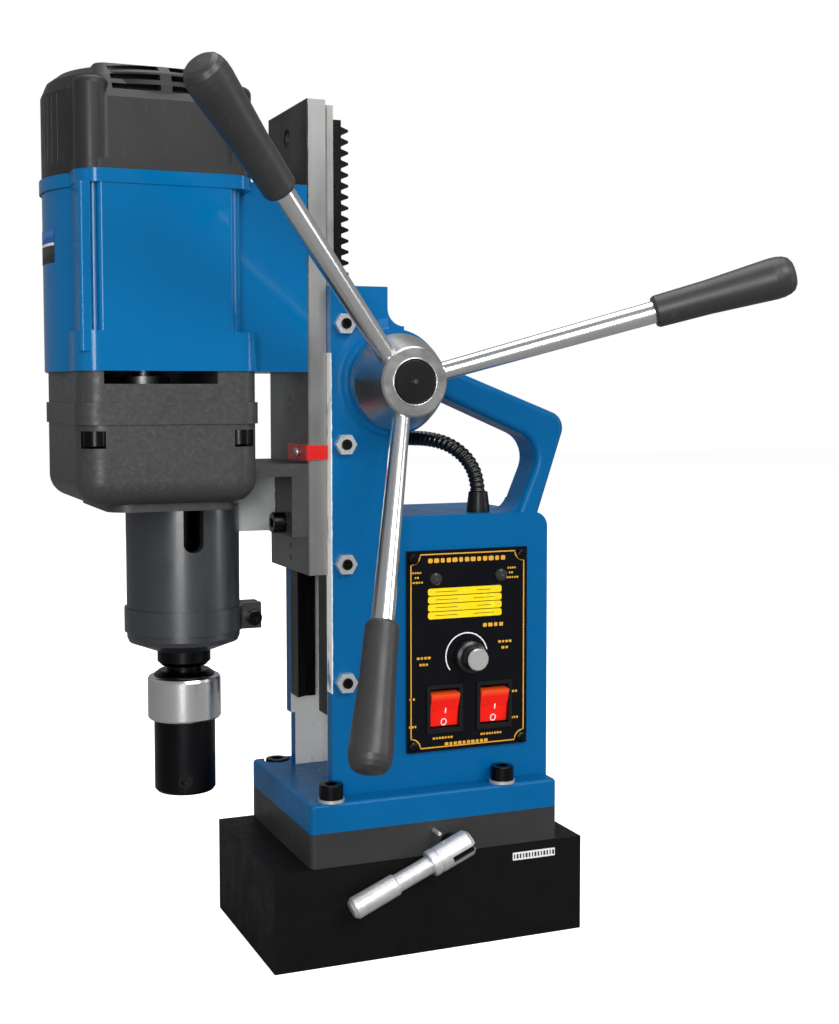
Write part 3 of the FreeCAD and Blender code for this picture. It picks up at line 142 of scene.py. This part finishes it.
def backdrop():
    """Surroundings that are white to the camera, and dimmer as a light."""
    world = bpy.data.worlds.new("studio")
    world.use_nodes = True
    tree = world.node_tree
    seen = tree.nodes["Background"]
    seen.inputs["Color"].default_value = (1, 1, 1, 1)
    seen.inputs["Strength"].default_value = 1.0
    lit = tree.nodes.new("ShaderNodeBackground")
    lit.inputs["Color"].default_value = (0.95, 0.97, 1, 1)
    lit.inputs["Strength"].default_value = 0.25
    split_rays(tree, lit.outputs[0], seen.outputs[0], tree.nodes["World Output"])
    bpy.context.scene.world = world


def soft_box(name, place, size, watts, reflected):
    """Rectangular light aimed at the middle of the machine."""
    data = bpy.data.lights.new(name, "AREA")
    data.shape = "RECTANGLE"
    data.size, data.size_y = size
    data.energy = watts
    lamp = bpy.data.objects.new(name, data)
    bpy.context.collection.objects.link(lamp)
    lamp.location = place
    lamp.rotation_mode = "QUATERNION"
    lamp.rotation_quaternion = (LIGHT_AIM - Vector(place)).to_track_quat("-Z", "Y")
    lamp.visible_glossy = reflected


# ---------------------------------------------------------------- materials

class Surface:
    """Builder of one procedural material on object coordinates, in metres."""

    def __init__(self, name, metallic=0.0, coat=0.0, coat_roughness=0.1, specular=0.5):
        self.material = bpy.data.materials.new(name)
        self.material.use_nodes = True
        self.tree = self.material.node_tree
        self.shader = self.tree.nodes["Principled BSDF"]
        self.put("Metallic", metallic)
        self.put("Coat Weight", coat)
        self.put("Coat Roughness", coat_roughness)
        self.put("Specular IOR Level", specular)
        self.place = self.add("ShaderNodeTexCoord").outputs["Object"]
        self.normal = None

    def add(self, kind, **settings):
        node = self.tree.nodes.new(kind)
        for name, value in settings.items():
            setattr(node, name, value)
        return node

    def put(self, socket, value):
        """Value that is the same all over the surface."""
        self.shader.inputs[socket].default_value = value

    def link(self, source, target):
        self.tree.links.new(source, target)

    def stretched(self, stretch):
        """Object coordinates scaled along each axis."""
        mapping = self.add("ShaderNodeMapping")
        mapping.inputs["Scale"].default_value = stretch
        self.link(self.place, mapping.inputs["Vector"])
        return mapping.outputs["Vector"]

    def coordinates(self):
        """X, Y and Z of the surface, as three sockets."""
        split = self.add("ShaderNodeSeparateXYZ")
        self.link(self.place, split.inputs[0])
        return split.outputs

    def noise(self, scale, detail=3.0, stretch=None, distortion=0.0):
        """Noise from 0 to 1, its scale in features per metre."""
        node = self.add("ShaderNodeTexNoise")
        node.inputs["Scale"].default_value = scale
        node.inputs["Detail"].default_value = detail
        node.inputs["Distortion"].default_value = distortion
        self.link(self.stretched(stretch) if stretch else self.place, node.inputs["Vector"])
        return node.outputs["Fac"]

    def ramp(self, source, low, high, start=0.0, end=1.0):
        """Value taken from low..high to start..end, and held beyond."""
        node = self.add("ShaderNodeMapRange")
        node.inputs["From Min"].default_value = low
        node.inputs["From Max"].default_value = high
        node.inputs["To Min"].default_value = start
        node.inputs["To Max"].default_value = end
        self.link(source, node.inputs["Value"])
        return node.outputs["Result"]

    def math(self, operation, first, second):
        """Sum, product or comparison of two sockets or numbers."""
        node = self.add("ShaderNodeMath", operation=operation)
        for value, socket in zip((first, second), node.inputs):
            if isinstance(value, (int, float)):
                socket.default_value = value
            else:
                self.link(value, socket)
        return node.outputs[0]

    def mix(self, factor, first, second):
        """Colour between two sockets or colours."""
        node = self.add("ShaderNodeMix", data_type="RGBA")
        self.link(factor, node.inputs[0])
        for value, socket in zip((first, second), (node.inputs[6], node.inputs[7])):
            if isinstance(value, tuple):
                socket.default_value = (*value, 1)
            else:
                self.link(value, socket)
        return node.outputs[2]

    def inside(self, **spans):
        """1 where the named coordinates lie between their spans, with a slightly ragged edge."""
        coordinates = self.coordinates()
        ragged = self.math("MULTIPLY", self.math("SUBTRACT", self.noise(300, 4), 0.5), RAGGED_EDGE)
        mask = 1.0
        for axis, (low, high) in spans.items():
            value = self.math("ADD", coordinates["xyz".index(axis)], ragged)
            mask = self.math("MULTIPLY", self.math("GREATER_THAN", value, low), mask)
            mask = self.math("MULTIPLY", self.math("LESS_THAN", value, high), mask)
        return mask

    def varied(self, scale, span):
        """Roughness that wanders between two values."""
        return self.ramp(self.noise(scale, 4), 0.3, 0.7, *span)

    def bump(self, height, strength, distance):
        """Bump on top of the earlier ones."""
        node = self.add("ShaderNodeBump")
        node.inputs["Strength"].default_value = strength
        node.inputs["Distance"].default_value = distance
        self.link(height, node.inputs["Height"])
        if self.normal:
            self.link(self.normal, node.inputs["Normal"])
        self.normal = node.outputs["Normal"]

    def done(self, colour, roughness, metallic=None):
        """Material with the sockets that vary over the surface."""
        self.link(colour, self.shader.inputs["Base Color"])
        self.link(roughness, self.shader.inputs["Roughness"])
        if metallic is not None:
            self.link(metallic, self.shader.inputs["Metallic"])
        self.link(self.normal, self.shader.inputs["Normal"])
        return self.material


def tones(colour, spread):
    """Darker and lighter neighbours of a colour."""
    return [tuple(min(1.0, c * share) for c in colour) for share in (1 - spread, 1 + spread)]


def paint_look(name, colour, rough, spread, orange_peel, coat, specular=0.3):
    """Sprayed paint with orange peel and faint mottling."""
    s = Surface(name, coat=coat, coat_roughness=0.08, specular=specular)
    dark, light = tones(colour, spread)
    s.bump(s.noise(650, 2), orange_peel, 0.00012)
    s.bump(s.noise(60, 2), orange_peel * 0.5, 0.0006)
    return s.done(s.mix(s.noise(22, 4), dark, light), s.varied(90, rough))


def plastic_look(name, colour, rough, grain=1500, depth=0.3, spread=0.12, specular=0.5):
    """Moulded plastic with a fine spark texture and faint scuffs."""
    s = Surface(name, specular=specular)
    dark, light = tones(colour, spread)
    base = s.mix(s.noise(35, 5), dark, light)
    scuffs = s.ramp(s.noise(240, 6, (1, 1, 0.25)), 0.62, 0.72)
    scuffed = tuple(min(1, c * 1.2 + 0.003) for c in colour)
    s.bump(s.noise(grain, 2), depth, 0.0001)
    return s.done(s.mix(scuffs, base, scuffed), s.varied(50, rough))


def steel_look(name, colour, rough, brush, scale=260, spread=0.10, depth=0.25, metallic=1.0,
               stained=0.82):
    """Machined steel: tool marks drawn out along one direction, and light oil stains."""
    s = Surface(name, metallic=metallic)
    dark, light = tones(colour, spread)
    marks = s.noise(scale, 3, brush)
    base = s.mix(marks, dark, light)
    stain = s.ramp(s.noise(28, 5, distortion=0.6), 0.55, 0.75)
    base = s.mix(stain, base, tuple(c * stained for c in colour))
    s.bump(marks, depth, 0.00005)
    handled = s.math("ADD", marks, s.math("MULTIPLY", s.noise(35, 4), 0.6))
    return s.done(base, s.ramp(handled, 0.5, 1.1, *rough))


def rubber_look(name, colour):
    """Glossy rubber with a little dust."""
    s = Surface(name, specular=0.6)
    dark, light = tones(colour, 0.2)
    s.bump(s.noise(1200, 3), 0.2, 0.0001)
    dust = s.ramp(s.noise(60, 6), 0.5, 0.8)
    dusty = tuple(c * 1.6 for c in light)
    return s.done(s.mix(dust, dark, dusty), s.varied(90, (0.18, 0.34)))


BLUE = (0.0, 0.107, 0.292)

# Where the looks below change over one node.
CHANNEL = {"x": (-0.0560, -0.0255), "y": (-0.0337, 0.0337), "z": (0.0918, 0.4)}
NEAR_WAY = {"x": (-0.0560, -0.0550), "y": (-0.0425, -0.0325), "z": (0.150, 0.341)}
# Web of the bracket, given light grey: partly a lighter finish, partly painted light.
BRACKET_WEB = {"x": (-0.1005, -0.0768), "y": (-0.0058, 0.0058), "z": (0.2, 0.2723)}
SLIDE_FRONT = {"x": (-0.07, -0.0658)}
# Heights over which the slide's front face goes from its scale to a painted shadow of the motor.
SCALE_TO_SHADOW_HEIGHTS = (0.33, 0.42)
KNOB_DISC = {"y": (-0.07, -0.0566)}
# Heights over which the rockers' painted glow comes in.
ROCKER_GLOW_HEIGHTS = (0.1415, 0.1445)
RAGGED_EDGE = 0.0009


def casting_look():
    """Blue enamel, left off the machined channel and worn off the near way face."""
    s = Surface("casting_enamel", coat=0.06, coat_roughness=0.15, specular=0.14)
    dark, light = tones(BLUE, 0.08)
    enamel = s.mix(s.noise(18, 4), dark, light)
    channel = s.inside(**CHANNEL)
    chipped = s.ramp(s.noise(70, 6, (1, 1, 0.35)), 0.34, 0.44)
    way = s.math("MULTIPLY", s.inside(**NEAR_WAY), chipped)
    bare = s.math("MAXIMUM", channel, way)
    metal = s.mix(s.noise(420, 3, (1, 1, 12)), (0.62, 0.62, 0.61), (0.86, 0.85, 0.84))
    metal = s.mix(way, metal, (0.90, 0.89, 0.87))
    s.bump(s.noise(650, 2), 0.25, 0.00012)
    s.bump(s.noise(45, 2), 0.15, 0.0008)
    return s.done(s.mix(bare, enamel, metal), s.varied(90, (0.26, 0.4)),
                  s.math("MULTIPLY", channel, 0.25))


def case_look():
    """Dark paint on a sand casting, with the bracket's web in light grey: partly a lighter finish,
    partly painted light over the shade the web sits in.
    """
    s = Surface("case_paint", specular=0.5)
    dark, light = tones((0.037, 0.037, 0.038), 0.18)
    grains = s.noise(420, 3)
    base = s.mix(s.noise(30, 5), dark, light)
    base = s.mix(s.ramp(grains, 0.55, 0.75), base, (0.050, 0.050, 0.051))
    # Light grey on the web: partly a lighter finish, partly painted light over its shade.
    web_finish_and_painted_light = s.mix(s.noise(160, 5), (0.30, 0.31, 0.31), (0.40, 0.41, 0.41))
    base = s.mix(s.inside(**BRACKET_WEB), base, web_finish_and_painted_light)
    s.bump(grains, 0.5, 0.00025)
    s.bump(s.noise(70, 3), 0.3, 0.0012)
    return s.done(base, s.ramp(grains, 0.3, 0.7, 0.36, 0.52))


def slide_look():
    """Ground steel slide, its front face dark with scale, and painted darker towards the top as a
    painted shadow of the motor.
    """
    s = Surface("slide_steel", metallic=0.9)
    marks = s.noise(260, 3, (1, 1, 0.06))
    ground = s.mix(marks, (0.29, 0.29, 0.28), (0.37, 0.37, 0.36))
    # The front face is scale at the lower end, painted darker upwards: painted shadow of the motor.
    height = s.math("ADD", s.coordinates()[2], s.math("MULTIPLY", s.noise(20, 4), 0.03))
    scale = s.mix(s.ramp(height, *SCALE_TO_SHADOW_HEIGHTS), (0.24, 0.24, 0.24), (0.035, 0.035, 0.036))
    s.bump(marks, 0.25, 0.00005)
    return s.done(s.mix(s.inside(**SLIDE_FRONT), ground, scale), s.varied(35, (0.30, 0.45)))


def knob_look():
    """Black moulded knob with a turned metal disc in its end."""
    s = Surface("knob_moulding", specular=0.5)
    disc = s.inside(**KNOB_DISC)
    rings = s.noise(900, 3, (1, 20, 1))
    metal = s.mix(rings, (0.62, 0.61, 0.59), (0.82, 0.81, 0.79))
    plastic = s.mix(s.noise(60, 4), (0.006, 0.006, 0.006), (0.012, 0.012, 0.012))
    s.bump(rings, 0.15, 0.00005)
    return s.done(s.mix(disc, plastic, metal), s.varied(90, (0.16, 0.32)),
                  s.math("MULTIPLY", disc, 0.7))


def rocker_look():
    """Clear red moulding, its raised top face painted brighter orange: painted glow in place of the
    lamp inside.
    """
    s = Surface("rocker_moulding", specular=0.4, coat=0.2, coat_roughness=0.06)
    # Brighter orange over the top of the rocker: painted glow, not a light.
    glow_mask = s.ramp(s.coordinates()[2], *ROCKER_GLOW_HEIGHTS)
    dark, light = tones((0.92, 0.008, 0.0015), 0.05)
    red = s.mix(s.noise(150, 4), dark, light)
    s.bump(s.noise(500, 2), 0.1, 0.0001)
    return s.done(s.mix(glow_mask, red, (1.0, 0.085, 0.015)), s.varied(90, (0.14, 0.26)))


PAINTS = {  # slot: name, colour, roughness, spread, orange peel, coat, specular
    "magnet_black": ("magnet_paint", (0.0045, 0.0045, 0.0046), (0.42, 0.6), 0.2, 0.2, 0.0, 0.12),
    "motor_blue": ("motor_enamel", (0.0, 0.124, 0.322), (0.14, 0.22), 0.05, 0.08, 0.2, 0.18),
    "quill_grey": ("quill_paint", (0.022, 0.025, 0.029), (0.28, 0.36), 0.15, 0.2, 0.1, 0.9),
    "panel_black": ("panel_foil", (0.0035, 0.0038, 0.0055), (0.22, 0.32), 0.2, 0.05, 0.0, 0.15),
    "red_paint": ("red_enamel", (0.62, 0.012, 0.010), (0.25, 0.35), 0.1, 0.2, 0.3),
    "plate_black": ("plate_paint", (0.030, 0.030, 0.031), (0.34, 0.5), 0.2, 0.3, 0.0, 0.3),
}
STEELS = {  # slot: name, colour, roughness, marks' stretch and scale, spread, depth, metallic, stain
    "machined_steel": ("ground_steel", (0.34, 0.34, 0.33), (0.30, 0.45), (1, 1, 0.06)),
    "bright_steel": ("polished_steel", (0.90, 0.90, 0.89), (0.21, 0.24), (8, 8, 8), 90, 0.04, 0.03,
                     1.0, 0.93),
    "turned_steel": ("turned_steel", (0.58, 0.57, 0.56), (0.24, 0.38), (1, 30, 1), 160),
    "black_steel": ("blued_steel", (0.018, 0.018, 0.020), (0.24, 0.4), (1, 1, 0.1)),
    "hardware_black": ("oxide_steel", (0.022, 0.022, 0.023), (0.22, 0.36), (2, 2, 2), 500),
    "zinc_steel": ("zinc_plate", (0.66, 0.67, 0.68), (0.24, 0.38), (3, 3, 3), 300, 0.08, 0.2, 0.7),
    "bush_bronze": ("bush_bronze", (0.40, 0.24, 0.09), (0.25, 0.4), (1, 30, 1)),
    "lever_steel": ("lever_nickel", (0.80, 0.80, 0.79), (0.34, 0.5), (2, 2, 2), 200, 0.1, 0.2, 0.8),
    "lamination": ("lamination_steel", (0.22, 0.22, 0.23), (0.3, 0.5), (1, 1, 60)),
}
PLASTICS = {  # slot: name, colour, roughness, scale of the grain, its depth, spread, specular
    "coil_resin": ("coil_resin_fill", (0.05, 0.025, 0.012), (0.2, 0.35)),
    "cap_grey": ("cap_plastic", (0.021, 0.021, 0.022), (0.34, 0.46), 1500, 0.3, 0.12, 0.3),
    "grip_grey": ("grip_plastic", (0.030, 0.030, 0.031), (0.34, 0.46)),
    "black_plastic": ("black_moulding", (0.007, 0.007, 0.008), (0.3, 0.42), 1500, 0.3, 0.12, 0.25),
    "lamp_dark": ("lamp_lens", (0.03, 0.03, 0.03), (0.05, 0.12), 800, 0.05),
    "board_green": ("board_laminate", (0.01, 0.07, 0.02), (0.38, 0.52)),
    "gold_print": ("gold_print", (0.72, 0.36, 0.03), (0.35, 0.5), 900, 0.1),
    "yellow_print": ("yellow_print", (0.90, 0.66, 0.0), (0.35, 0.5), 900, 0.1),
    "white_print": ("white_print", (0.85, 0.85, 0.85), (0.3, 0.45), 900, 0.1, 0.04),
    "ink_print": ("ink_print", (0.02, 0.02, 0.02), (0.35, 0.5), 900, 0.1),
    "label_white": ("label_film", (0.80, 0.80, 0.79), (0.3, 0.45), 900, 0.1, 0.04),
    "label_blue": ("label_blue_film", (0.01, 0.12, 0.42), (0.2, 0.3), 900, 0.1, 0.06),
}


def looks():
    """Every material, by the record's slot name or a name of its own."""
    made = {"blue_paint": casting_look(), "case_grey": case_look(), "slide_steel": slide_look(),
            "knob_silver": knob_look(), "red_plastic": rocker_look(),
            "cable_black": rubber_look("cable_rubber", (0.006, 0.006, 0.006))}
    for make, table in ((paint_look, PAINTS), (steel_look, STEELS), (plastic_look, PLASTICS)):
        for slot, settings in table.items():
            made[slot] = make(*settings)
    return made


OWN_LOOKS = {"swivel_plate": "plate_black", "clamp_lever": "lever_steel",
             "slide_plate": "slide_steel"}
EDGE_WIDTH = 0.0006


def dress_nodes(made):
    """Give each carried-over node its material and softened edges."""
    slots = {part["node"]: part["material_slot"] for part in frame["record"]["subparts"]}
    slots.update(OWN_LOOKS)
    for name, item in NODES.items():
        item.data.materials.clear()
        item.data.materials.append(made[slots[name]])
        soften(item)


def soften(item):
    """Small rounded edges, so that corners catch the light."""
    bevel = item.modifiers.new("eased_edges", "BEVEL")
    bevel.width = EDGE_WIDTH
    bevel.segments = 2
    bevel.limit_method = "ANGLE"
    bevel.angle_limit = math.radians(35)


# ---------------------------------------------------------------- building pieces

def piece(name, points, faces, material, smooth=False):
    """Mesh object with its material."""
    made = mesh_object(name, points, faces)
    made.data.materials.append(material)
    if smooth:
        made.data.shade_smooth()
    made.data.update()
    return made


def merged(name, shapes, material, body, smooth=False):
    """Several (points, faces) shapes as one piece that rides on a body."""
    all_points, all_faces = [], []
    for points, faces in shapes:
        base = len(all_points)
        all_points += points
        all_faces += [tuple(base + i for i in face) for face in faces]
    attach(piece(name, all_points, all_faces, material, smooth), body)


def prism(ring, depth):
    """Closed outline pushed along a vector: (points, faces)."""
    count = len(ring)
    points = [Vector(p) for p in ring] + [Vector(p) + Vector(depth) for p in ring]
    sides = [(i, (i + 1) % count, (i + 1) % count + count, i + count) for i in range(count)]
    return points, [tuple(reversed(range(count))), tuple(range(count, 2 * count))] + sides


# How far printed marks and labels stand proud of what they are on.
PRINT_FILM = 0.00012
LABEL_FILM = 0.0002
CORNER_STEPS = 4


def rounded_bar(x, z, width, height, radius, y, thick=PRINT_FILM):
    """Rounded rectangle on a face that looks along -Y."""
    ring = []
    for turn, (sx, sz) in enumerate(((1, 1), (-1, 1), (-1, -1), (1, -1))):
        for step in range(CORNER_STEPS + 1):
            angle = math.radians(90 * (turn + step / CORNER_STEPS))
            ring.append((x + sx * (width / 2 - radius) + radius * math.cos(angle), y,
                         z + sz * (height / 2 - radius) + radius * math.sin(angle)))
    return prism(ring, (0, -thick, 0))


def ribbon(path, width, y, closed=False):
    """Printed line through (x, z) points, on a face that looks along -Y."""
    count = len(path)
    proud = Vector((0, -PRINT_FILM, 0))
    points = []
    for i, (x, z) in enumerate(path):
        before = path[i - 1] if closed or i else path[i]
        after = path[(i + 1) % count] if closed or i < count - 1 else path[i]
        ahead = Vector((after[0] - before[0], after[1] - before[1])).normalized()
        side = Vector((-ahead.y, 0, ahead.x)) * width / 2
        middle = Vector((x, y, z))
        points += [middle + side, middle - side, middle + side + proud, middle - side + proud]
    faces = []
    for i in range(count if closed else count - 1):
        a, b = 4 * i, 4 * ((i + 1) % count)
        faces += [(a + 2, b + 2, b + 3, a + 3), (a, b, b + 2, a + 2), (a + 1, a + 3, b + 3, b + 1)]
    return points, faces


def lathe(profile, place, axis, steps):
    """(radius, height) profile turned about an axis: (points, faces)."""
    swing = Vector(axis).to_track_quat("Z", "Y")
    points, faces = [], []
    for radius, height in profile:
        for step in range(steps):
            angle = 2 * math.pi * step / steps
            spot = Vector((radius * math.cos(angle), radius * math.sin(angle), height))
            points.append(Vector(place) + swing @ spot)
    for row in range(len(profile) - 1):
        for step in range(steps):
            a, b = row * steps + step, row * steps + (step + 1) % steps
            faces.append((a, b, b + steps, a + steps))
    return points, faces


# ---------------------------------------------------------------- control panel artwork

PANEL_FACE = -0.044
BORDER_INSET, BORDER_BITE = 0.0022, 0.0058
LINE_WIDTH = 0.0007
ROW_TOP, ROW_PITCH = 0.2045, 0.00455
SCALE_X, SCALE_Z, SCALE_RADIUS = 0.0266, 0.1665, 0.0132


def panel_artwork(made):
    """Printed border, plain rating rows, knob scale and dashes in place of lettering."""
    low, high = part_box("control_panel")
    x0, x1 = low.x + BORDER_INSET, high.x - BORDER_INSET
    z0, z1 = low.z + BORDER_INSET, high.z - BORDER_INSET
    border = []
    for cx, cz, start in ((x0, z0, 90), (x1, z0, 180), (x1, z1, 270), (x0, z1, 0)):
        for step in range(7):
            angle = math.radians(start - 15 * step)
            border.append((cx + BORDER_BITE * math.cos(angle), cz + BORDER_BITE * math.sin(angle)))
    gold = made["gold_print"]
    merged("panel_border", [ribbon(border, LINE_WIDTH, PANEL_FACE, closed=True)], gold, "column")

    rows, rules = [], []
    for row in range(4):
        z = ROW_TOP - ROW_PITCH * row
        rows.append(rounded_bar(0.0256, z, 0.0468, 0.0041, 0.0013, PANEL_FACE))
        for x, width in ((0.0138, 0.014), (0.0375, 0.009 + 0.004 * (row % 2))):
            rules.append(rounded_bar(x, z, width, 0.0003, 0.0001, PANEL_FACE - PRINT_FILM))
    merged("panel_rating_rows", rows, made["yellow_print"], "column")
    merged("panel_rating_rules", rules, made["ink_print"], "column")

    arc = [(SCALE_X + SCALE_RADIUS * math.cos(math.radians(angle)),
            SCALE_Z + SCALE_RADIUS * math.sin(math.radians(angle))) for angle in range(216, 11, -6)]
    merged("panel_speed_scale", [ribbon(arc, LINE_WIDTH, PANEL_FACE)], made["white_print"], "column")
    merged("panel_dashes", dashes(), gold, "column")


DASH_ROWS = [  # x, z, width and height of each row, in millimetres
    (26.8, 222.6, 50, 2.6), (-4.8, 216, 6, 1.1), (-4.8, 213.2, 3, 1.1), (-4.8, 210.4, 8, 1.1),
    (55.5, 216.4, 6, 1.1), (55, 213.6, 3, 1.1), (56, 210.8, 8, 1.1), (43.5, 183.6, 14, 2.2),
    (51.2, 173.2, 9, 1.4), (51.2, 169.6, 5, 1.4), (-0.5, 166.6, 9, 1.4), (-0.5, 162.8, 6, 1.4),
    (-7.6, 143.2, 4, 1.3), (-7.4, 127.2, 5, 1.3), (57.6, 143.2, 4, 1.3), (57.6, 127.6, 5, 1.3),
    (11.4, 119.4, 13, 1.2), (42.4, 119.4, 14, 1.2), (26.4, 115.6, 28, 1.8),
]


def dashes():
    """Rows of short bars of uneven width."""
    made = []
    for x, z, width, height in DASH_ROWS:
        count = max(1, round(width / (height * 1.5)))
        pitch = width / count
        for number in range(count):
            share = 0.62 + 0.2 * ((number * 7 + round(z)) % 3) / 2
            spot = x - width / 2 + pitch * (number + 0.5)
            made.append(rounded_bar(spot / 1000, z / 1000, pitch * share / 1000, height / 1000,
                                    height / 4000, PANEL_FACE))
    return made


def surface_at(node):
    """Function giving the nearest y of a node's surface at (x, z)."""
    tree = BVHTree.FromObject(NODES[node], bpy.context.evaluated_depsgraph_get())
    return lambda x, z: tree.ray_cast(Vector((x, -0.2, z)), Vector((0, 1, 0)))[0].y


ROCKERS = (("drill_rocker", "drill_switch", 0.0124), ("magnet_rocker", "magnet_switch", 0.044))


def rocker_marks(made):
    """A bar and a ring on each rocker, laid on its curved face."""
    for node, body, x in ROCKERS:
        height = surface_at(node)
        turns = [math.pi * step / 8 for step in range(16)]
        ring = [(x + 0.0016 * math.cos(turn), 0.1285 + 0.0018 * math.sin(turn)) for turn in turns]
        shapes = []
        for points, faces in (rounded_bar(x + 0.0008, 0.1352, 0.0007, 0.0032, 0.0002, 0),
                              ribbon(ring, 0.0006, 0, closed=True)):
            laid = [Vector((p.x, height(p.x, p.z) + (-0.0002 if p.y < 0 else 0.0001), p.z))
                    for p in points]
            shapes.append((laid, faces))
        merged(node + "_marks", shapes, made["white_print"], body)


# ---------------------------------------------------------------- labels

MAGNET_LABEL_Z = 0.0485
BARREL_X, BARREL_RADIUS = -0.1508, 0.0536
MOTOR_LABEL_SPAN = (166, 199)
MOTOR_LABEL_STEPS = 16
MOTOR_LABEL = (("motor_label_top", (0.3985, 0.406), "label_blue"),
               ("motor_label_line", (0.3970, 0.3985), "label_white"),
               ("motor_label_low", (0.3880, 0.3970), "ink_print"))


def labels(made):
    """Blank labels on the magnet and on the motor."""
    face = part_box("magnet_base")[0].y
    film = rounded_bar(0.0639, MAGNET_LABEL_Z, 0.0276, 0.0046, 0.0004, face, LABEL_FILM)
    merged("magnet_label", [film], made["label_white"], "base")
    bars = [rounded_bar(0.0512 + 0.00195 * number, MAGNET_LABEL_Z, 0.0007 + 0.00025 * (number * 5 % 3),
                        0.0026, 0.0001, face - LABEL_FILM) for number in range(14)]
    merged("magnet_label_bars", bars, made["ink_print"], "base")
    for name, z_span, slot in MOTOR_LABEL:
        merged(name, [wrapped_patch(z_span)], made[slot], "head", smooth=True)


def wrapped_patch(z_span):
    """Thin patch that follows the motor's round barrel."""
    points, faces = [], []
    start, end = MOTOR_LABEL_SPAN
    for step in range(MOTOR_LABEL_STEPS + 1):
        angle = math.radians(start + (end - start) * step / MOTOR_LABEL_STEPS)
        for reach in (BARREL_RADIUS + LABEL_FILM, BARREL_RADIUS - LABEL_FILM):
            for z in z_span:
                points.append(Vector((BARREL_X + reach * math.cos(angle), reach * math.sin(angle), z)))
    for step in range(MOTOR_LABEL_STEPS):
        a, b = 4 * step, 4 * step + 4
        faces += [(a, b, b + 1, a + 1), (a + 1, b + 1, b + 3, a + 3), (a, a + 2, b + 2, b)]
    return points, faces


# ---------------------------------------------------------------- motor cable

CABLE_ROUTE = [(0.0413, -0.028, 0.2535), (0.0413, -0.028, 0.2665), (0.036, -0.026, 0.2795),
               (0.0265, -0.0195, 0.2885), (0.0175, -0.0085, 0.2915), (0.0115, 0.005, 0.2915),
               (0.009, 0.021, 0.2915), (0.0085, 0.038, 0.2935), (0.003, 0.0545, 0.302),
               (-0.010, 0.065, 0.3155), (-0.028, 0.0685, 0.331), (-0.048, 0.0625, 0.3465),
               (-0.066, 0.0525, 0.3565), (-0.083, 0.046, 0.360), (-0.0974, 0.046, 0.360)]
CABLE_CREST, CABLE_VALLEY = 0.0045, 0.0038
CABLE_SIDES = 24
RIB_PITCH, RIB_STEPS = 0.0030, 8


def centreline():
    """Points along the cable's NURBS spline."""
    curve = bpy.data.curves.new("cable_line", "CURVE")
    curve.dimensions = "3D"
    spline = curve.splines.new("NURBS")
    spline.points.add(len(CABLE_ROUTE) - 1)
    for point, place in zip(spline.points, CABLE_ROUTE):
        point.co = (*place, 1)
    spline.order_u = 3
    spline.use_endpoint_u = True
    spline.resolution_u = 24
    line = bpy.data.objects.new("cable_line", curve)
    bpy.context.collection.objects.link(line)
    bpy.context.view_layer.update()
    mesh = bpy.data.meshes.new_from_object(line)
    points = [v.co.copy() for v in mesh.vertices]
    bpy.data.objects.remove(line)
    bpy.data.meshes.remove(mesh)
    return points


def evenly(points, gap):
    """Points at equal steps along a line, and its length."""
    walked = [0.0]
    for a, b in zip(points, points[1:]):
        walked.append(walked[-1] + (b - a).length)
    total = walked[-1]
    count = round(total / gap)
    made, at = [], 0
    for step in range(count + 1):
        goal = total * step / count
        while at < len(points) - 2 and walked[at + 1] < goal:
            at += 1
        share = (goal - walked[at]) / (walked[at + 1] - walked[at])
        made.append(points[at].lerp(points[at + 1], share))
    return made, total


def motor_cable(made):
    """Spirally ribbed conduit between the control box and the motor."""
    path, total = evenly(centreline(), RIB_PITCH / RIB_STEPS)
    side = Vector((0, 1, 0))
    points, faces = [], []
    for i, spot in enumerate(path):
        ahead = (path[min(i + 1, len(path) - 1)] - path[max(i - 1, 0)]).normalized()
        side = (side - ahead * side.dot(ahead)).normalized()
        up = ahead.cross(side)
        for step in range(CABLE_SIDES):
            angle = 2 * math.pi * step / CABLE_SIDES
            swell = 0.5 + 0.5 * math.cos(2 * math.pi * i / RIB_STEPS + angle)
            radius = CABLE_VALLEY + (CABLE_CREST - CABLE_VALLEY) * swell ** 0.6
            points.append(spot + (side * math.cos(angle) + up * math.sin(angle)) * radius)
    for row in range(len(path) - 1):
        for step in range(CABLE_SIDES):
            a, b = row * CABLE_SIDES + step, row * CABLE_SIDES + (step + 1) % CABLE_SIDES
            faces.append((a, a + CABLE_SIDES, b + CABLE_SIDES, b))
    last = (len(path) - 1) * CABLE_SIDES
    faces += [tuple(range(CABLE_SIDES)), tuple(reversed(range(last, last + CABLE_SIDES)))]
    tube = piece("motor_cable_conduit", points, faces, made["cable_black"], smooth=True)
    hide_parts("motor_cable")
    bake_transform(tube)


# ---------------------------------------------------------------- small hardware

def pointer_screw(made):
    """Small round-headed screw that holds the depth pointer."""
    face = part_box("depth_pointer")[0].x
    profile = [(0.0, 0.0), (0.0026, 0.0), (0.0026, 0.0010), (0.0020, 0.0017), (0.0, 0.0019)]
    head = lathe(profile, (face, -0.0205, 0.2855), (-1, 0, 0), 24)
    merged("pointer_screw", [head], made["zinc_steel"], "head", smooth=True)


def hub_ring(made):
    """Thin bright ring round the hub's cap."""
    low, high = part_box("hub_cap")
    place = ((low.x + high.x) / 2, low.y + 0.0020, (low.z + high.z) / 2)
    profile = [(0.01235, 0.0), (0.01235, 0.0011), (0.0127, 0.0014), (0.0131, 0.0011), (0.0131, 0.0)]
    merged("hub_cap_ring", [lathe(profile, place, (0, -1, 0), 64)], made["bright_steel"], "feed_hub",
           smooth=True)


camera()
studio()
LOOKS = looks()
motor_cable(LOOKS)
dress_nodes(LOOKS)
panel_artwork(LOOKS)
rocker_marks(LOOKS)
labels(LOOKS)
pointer_screw(LOOKS)
hub_ring(LOOKS)
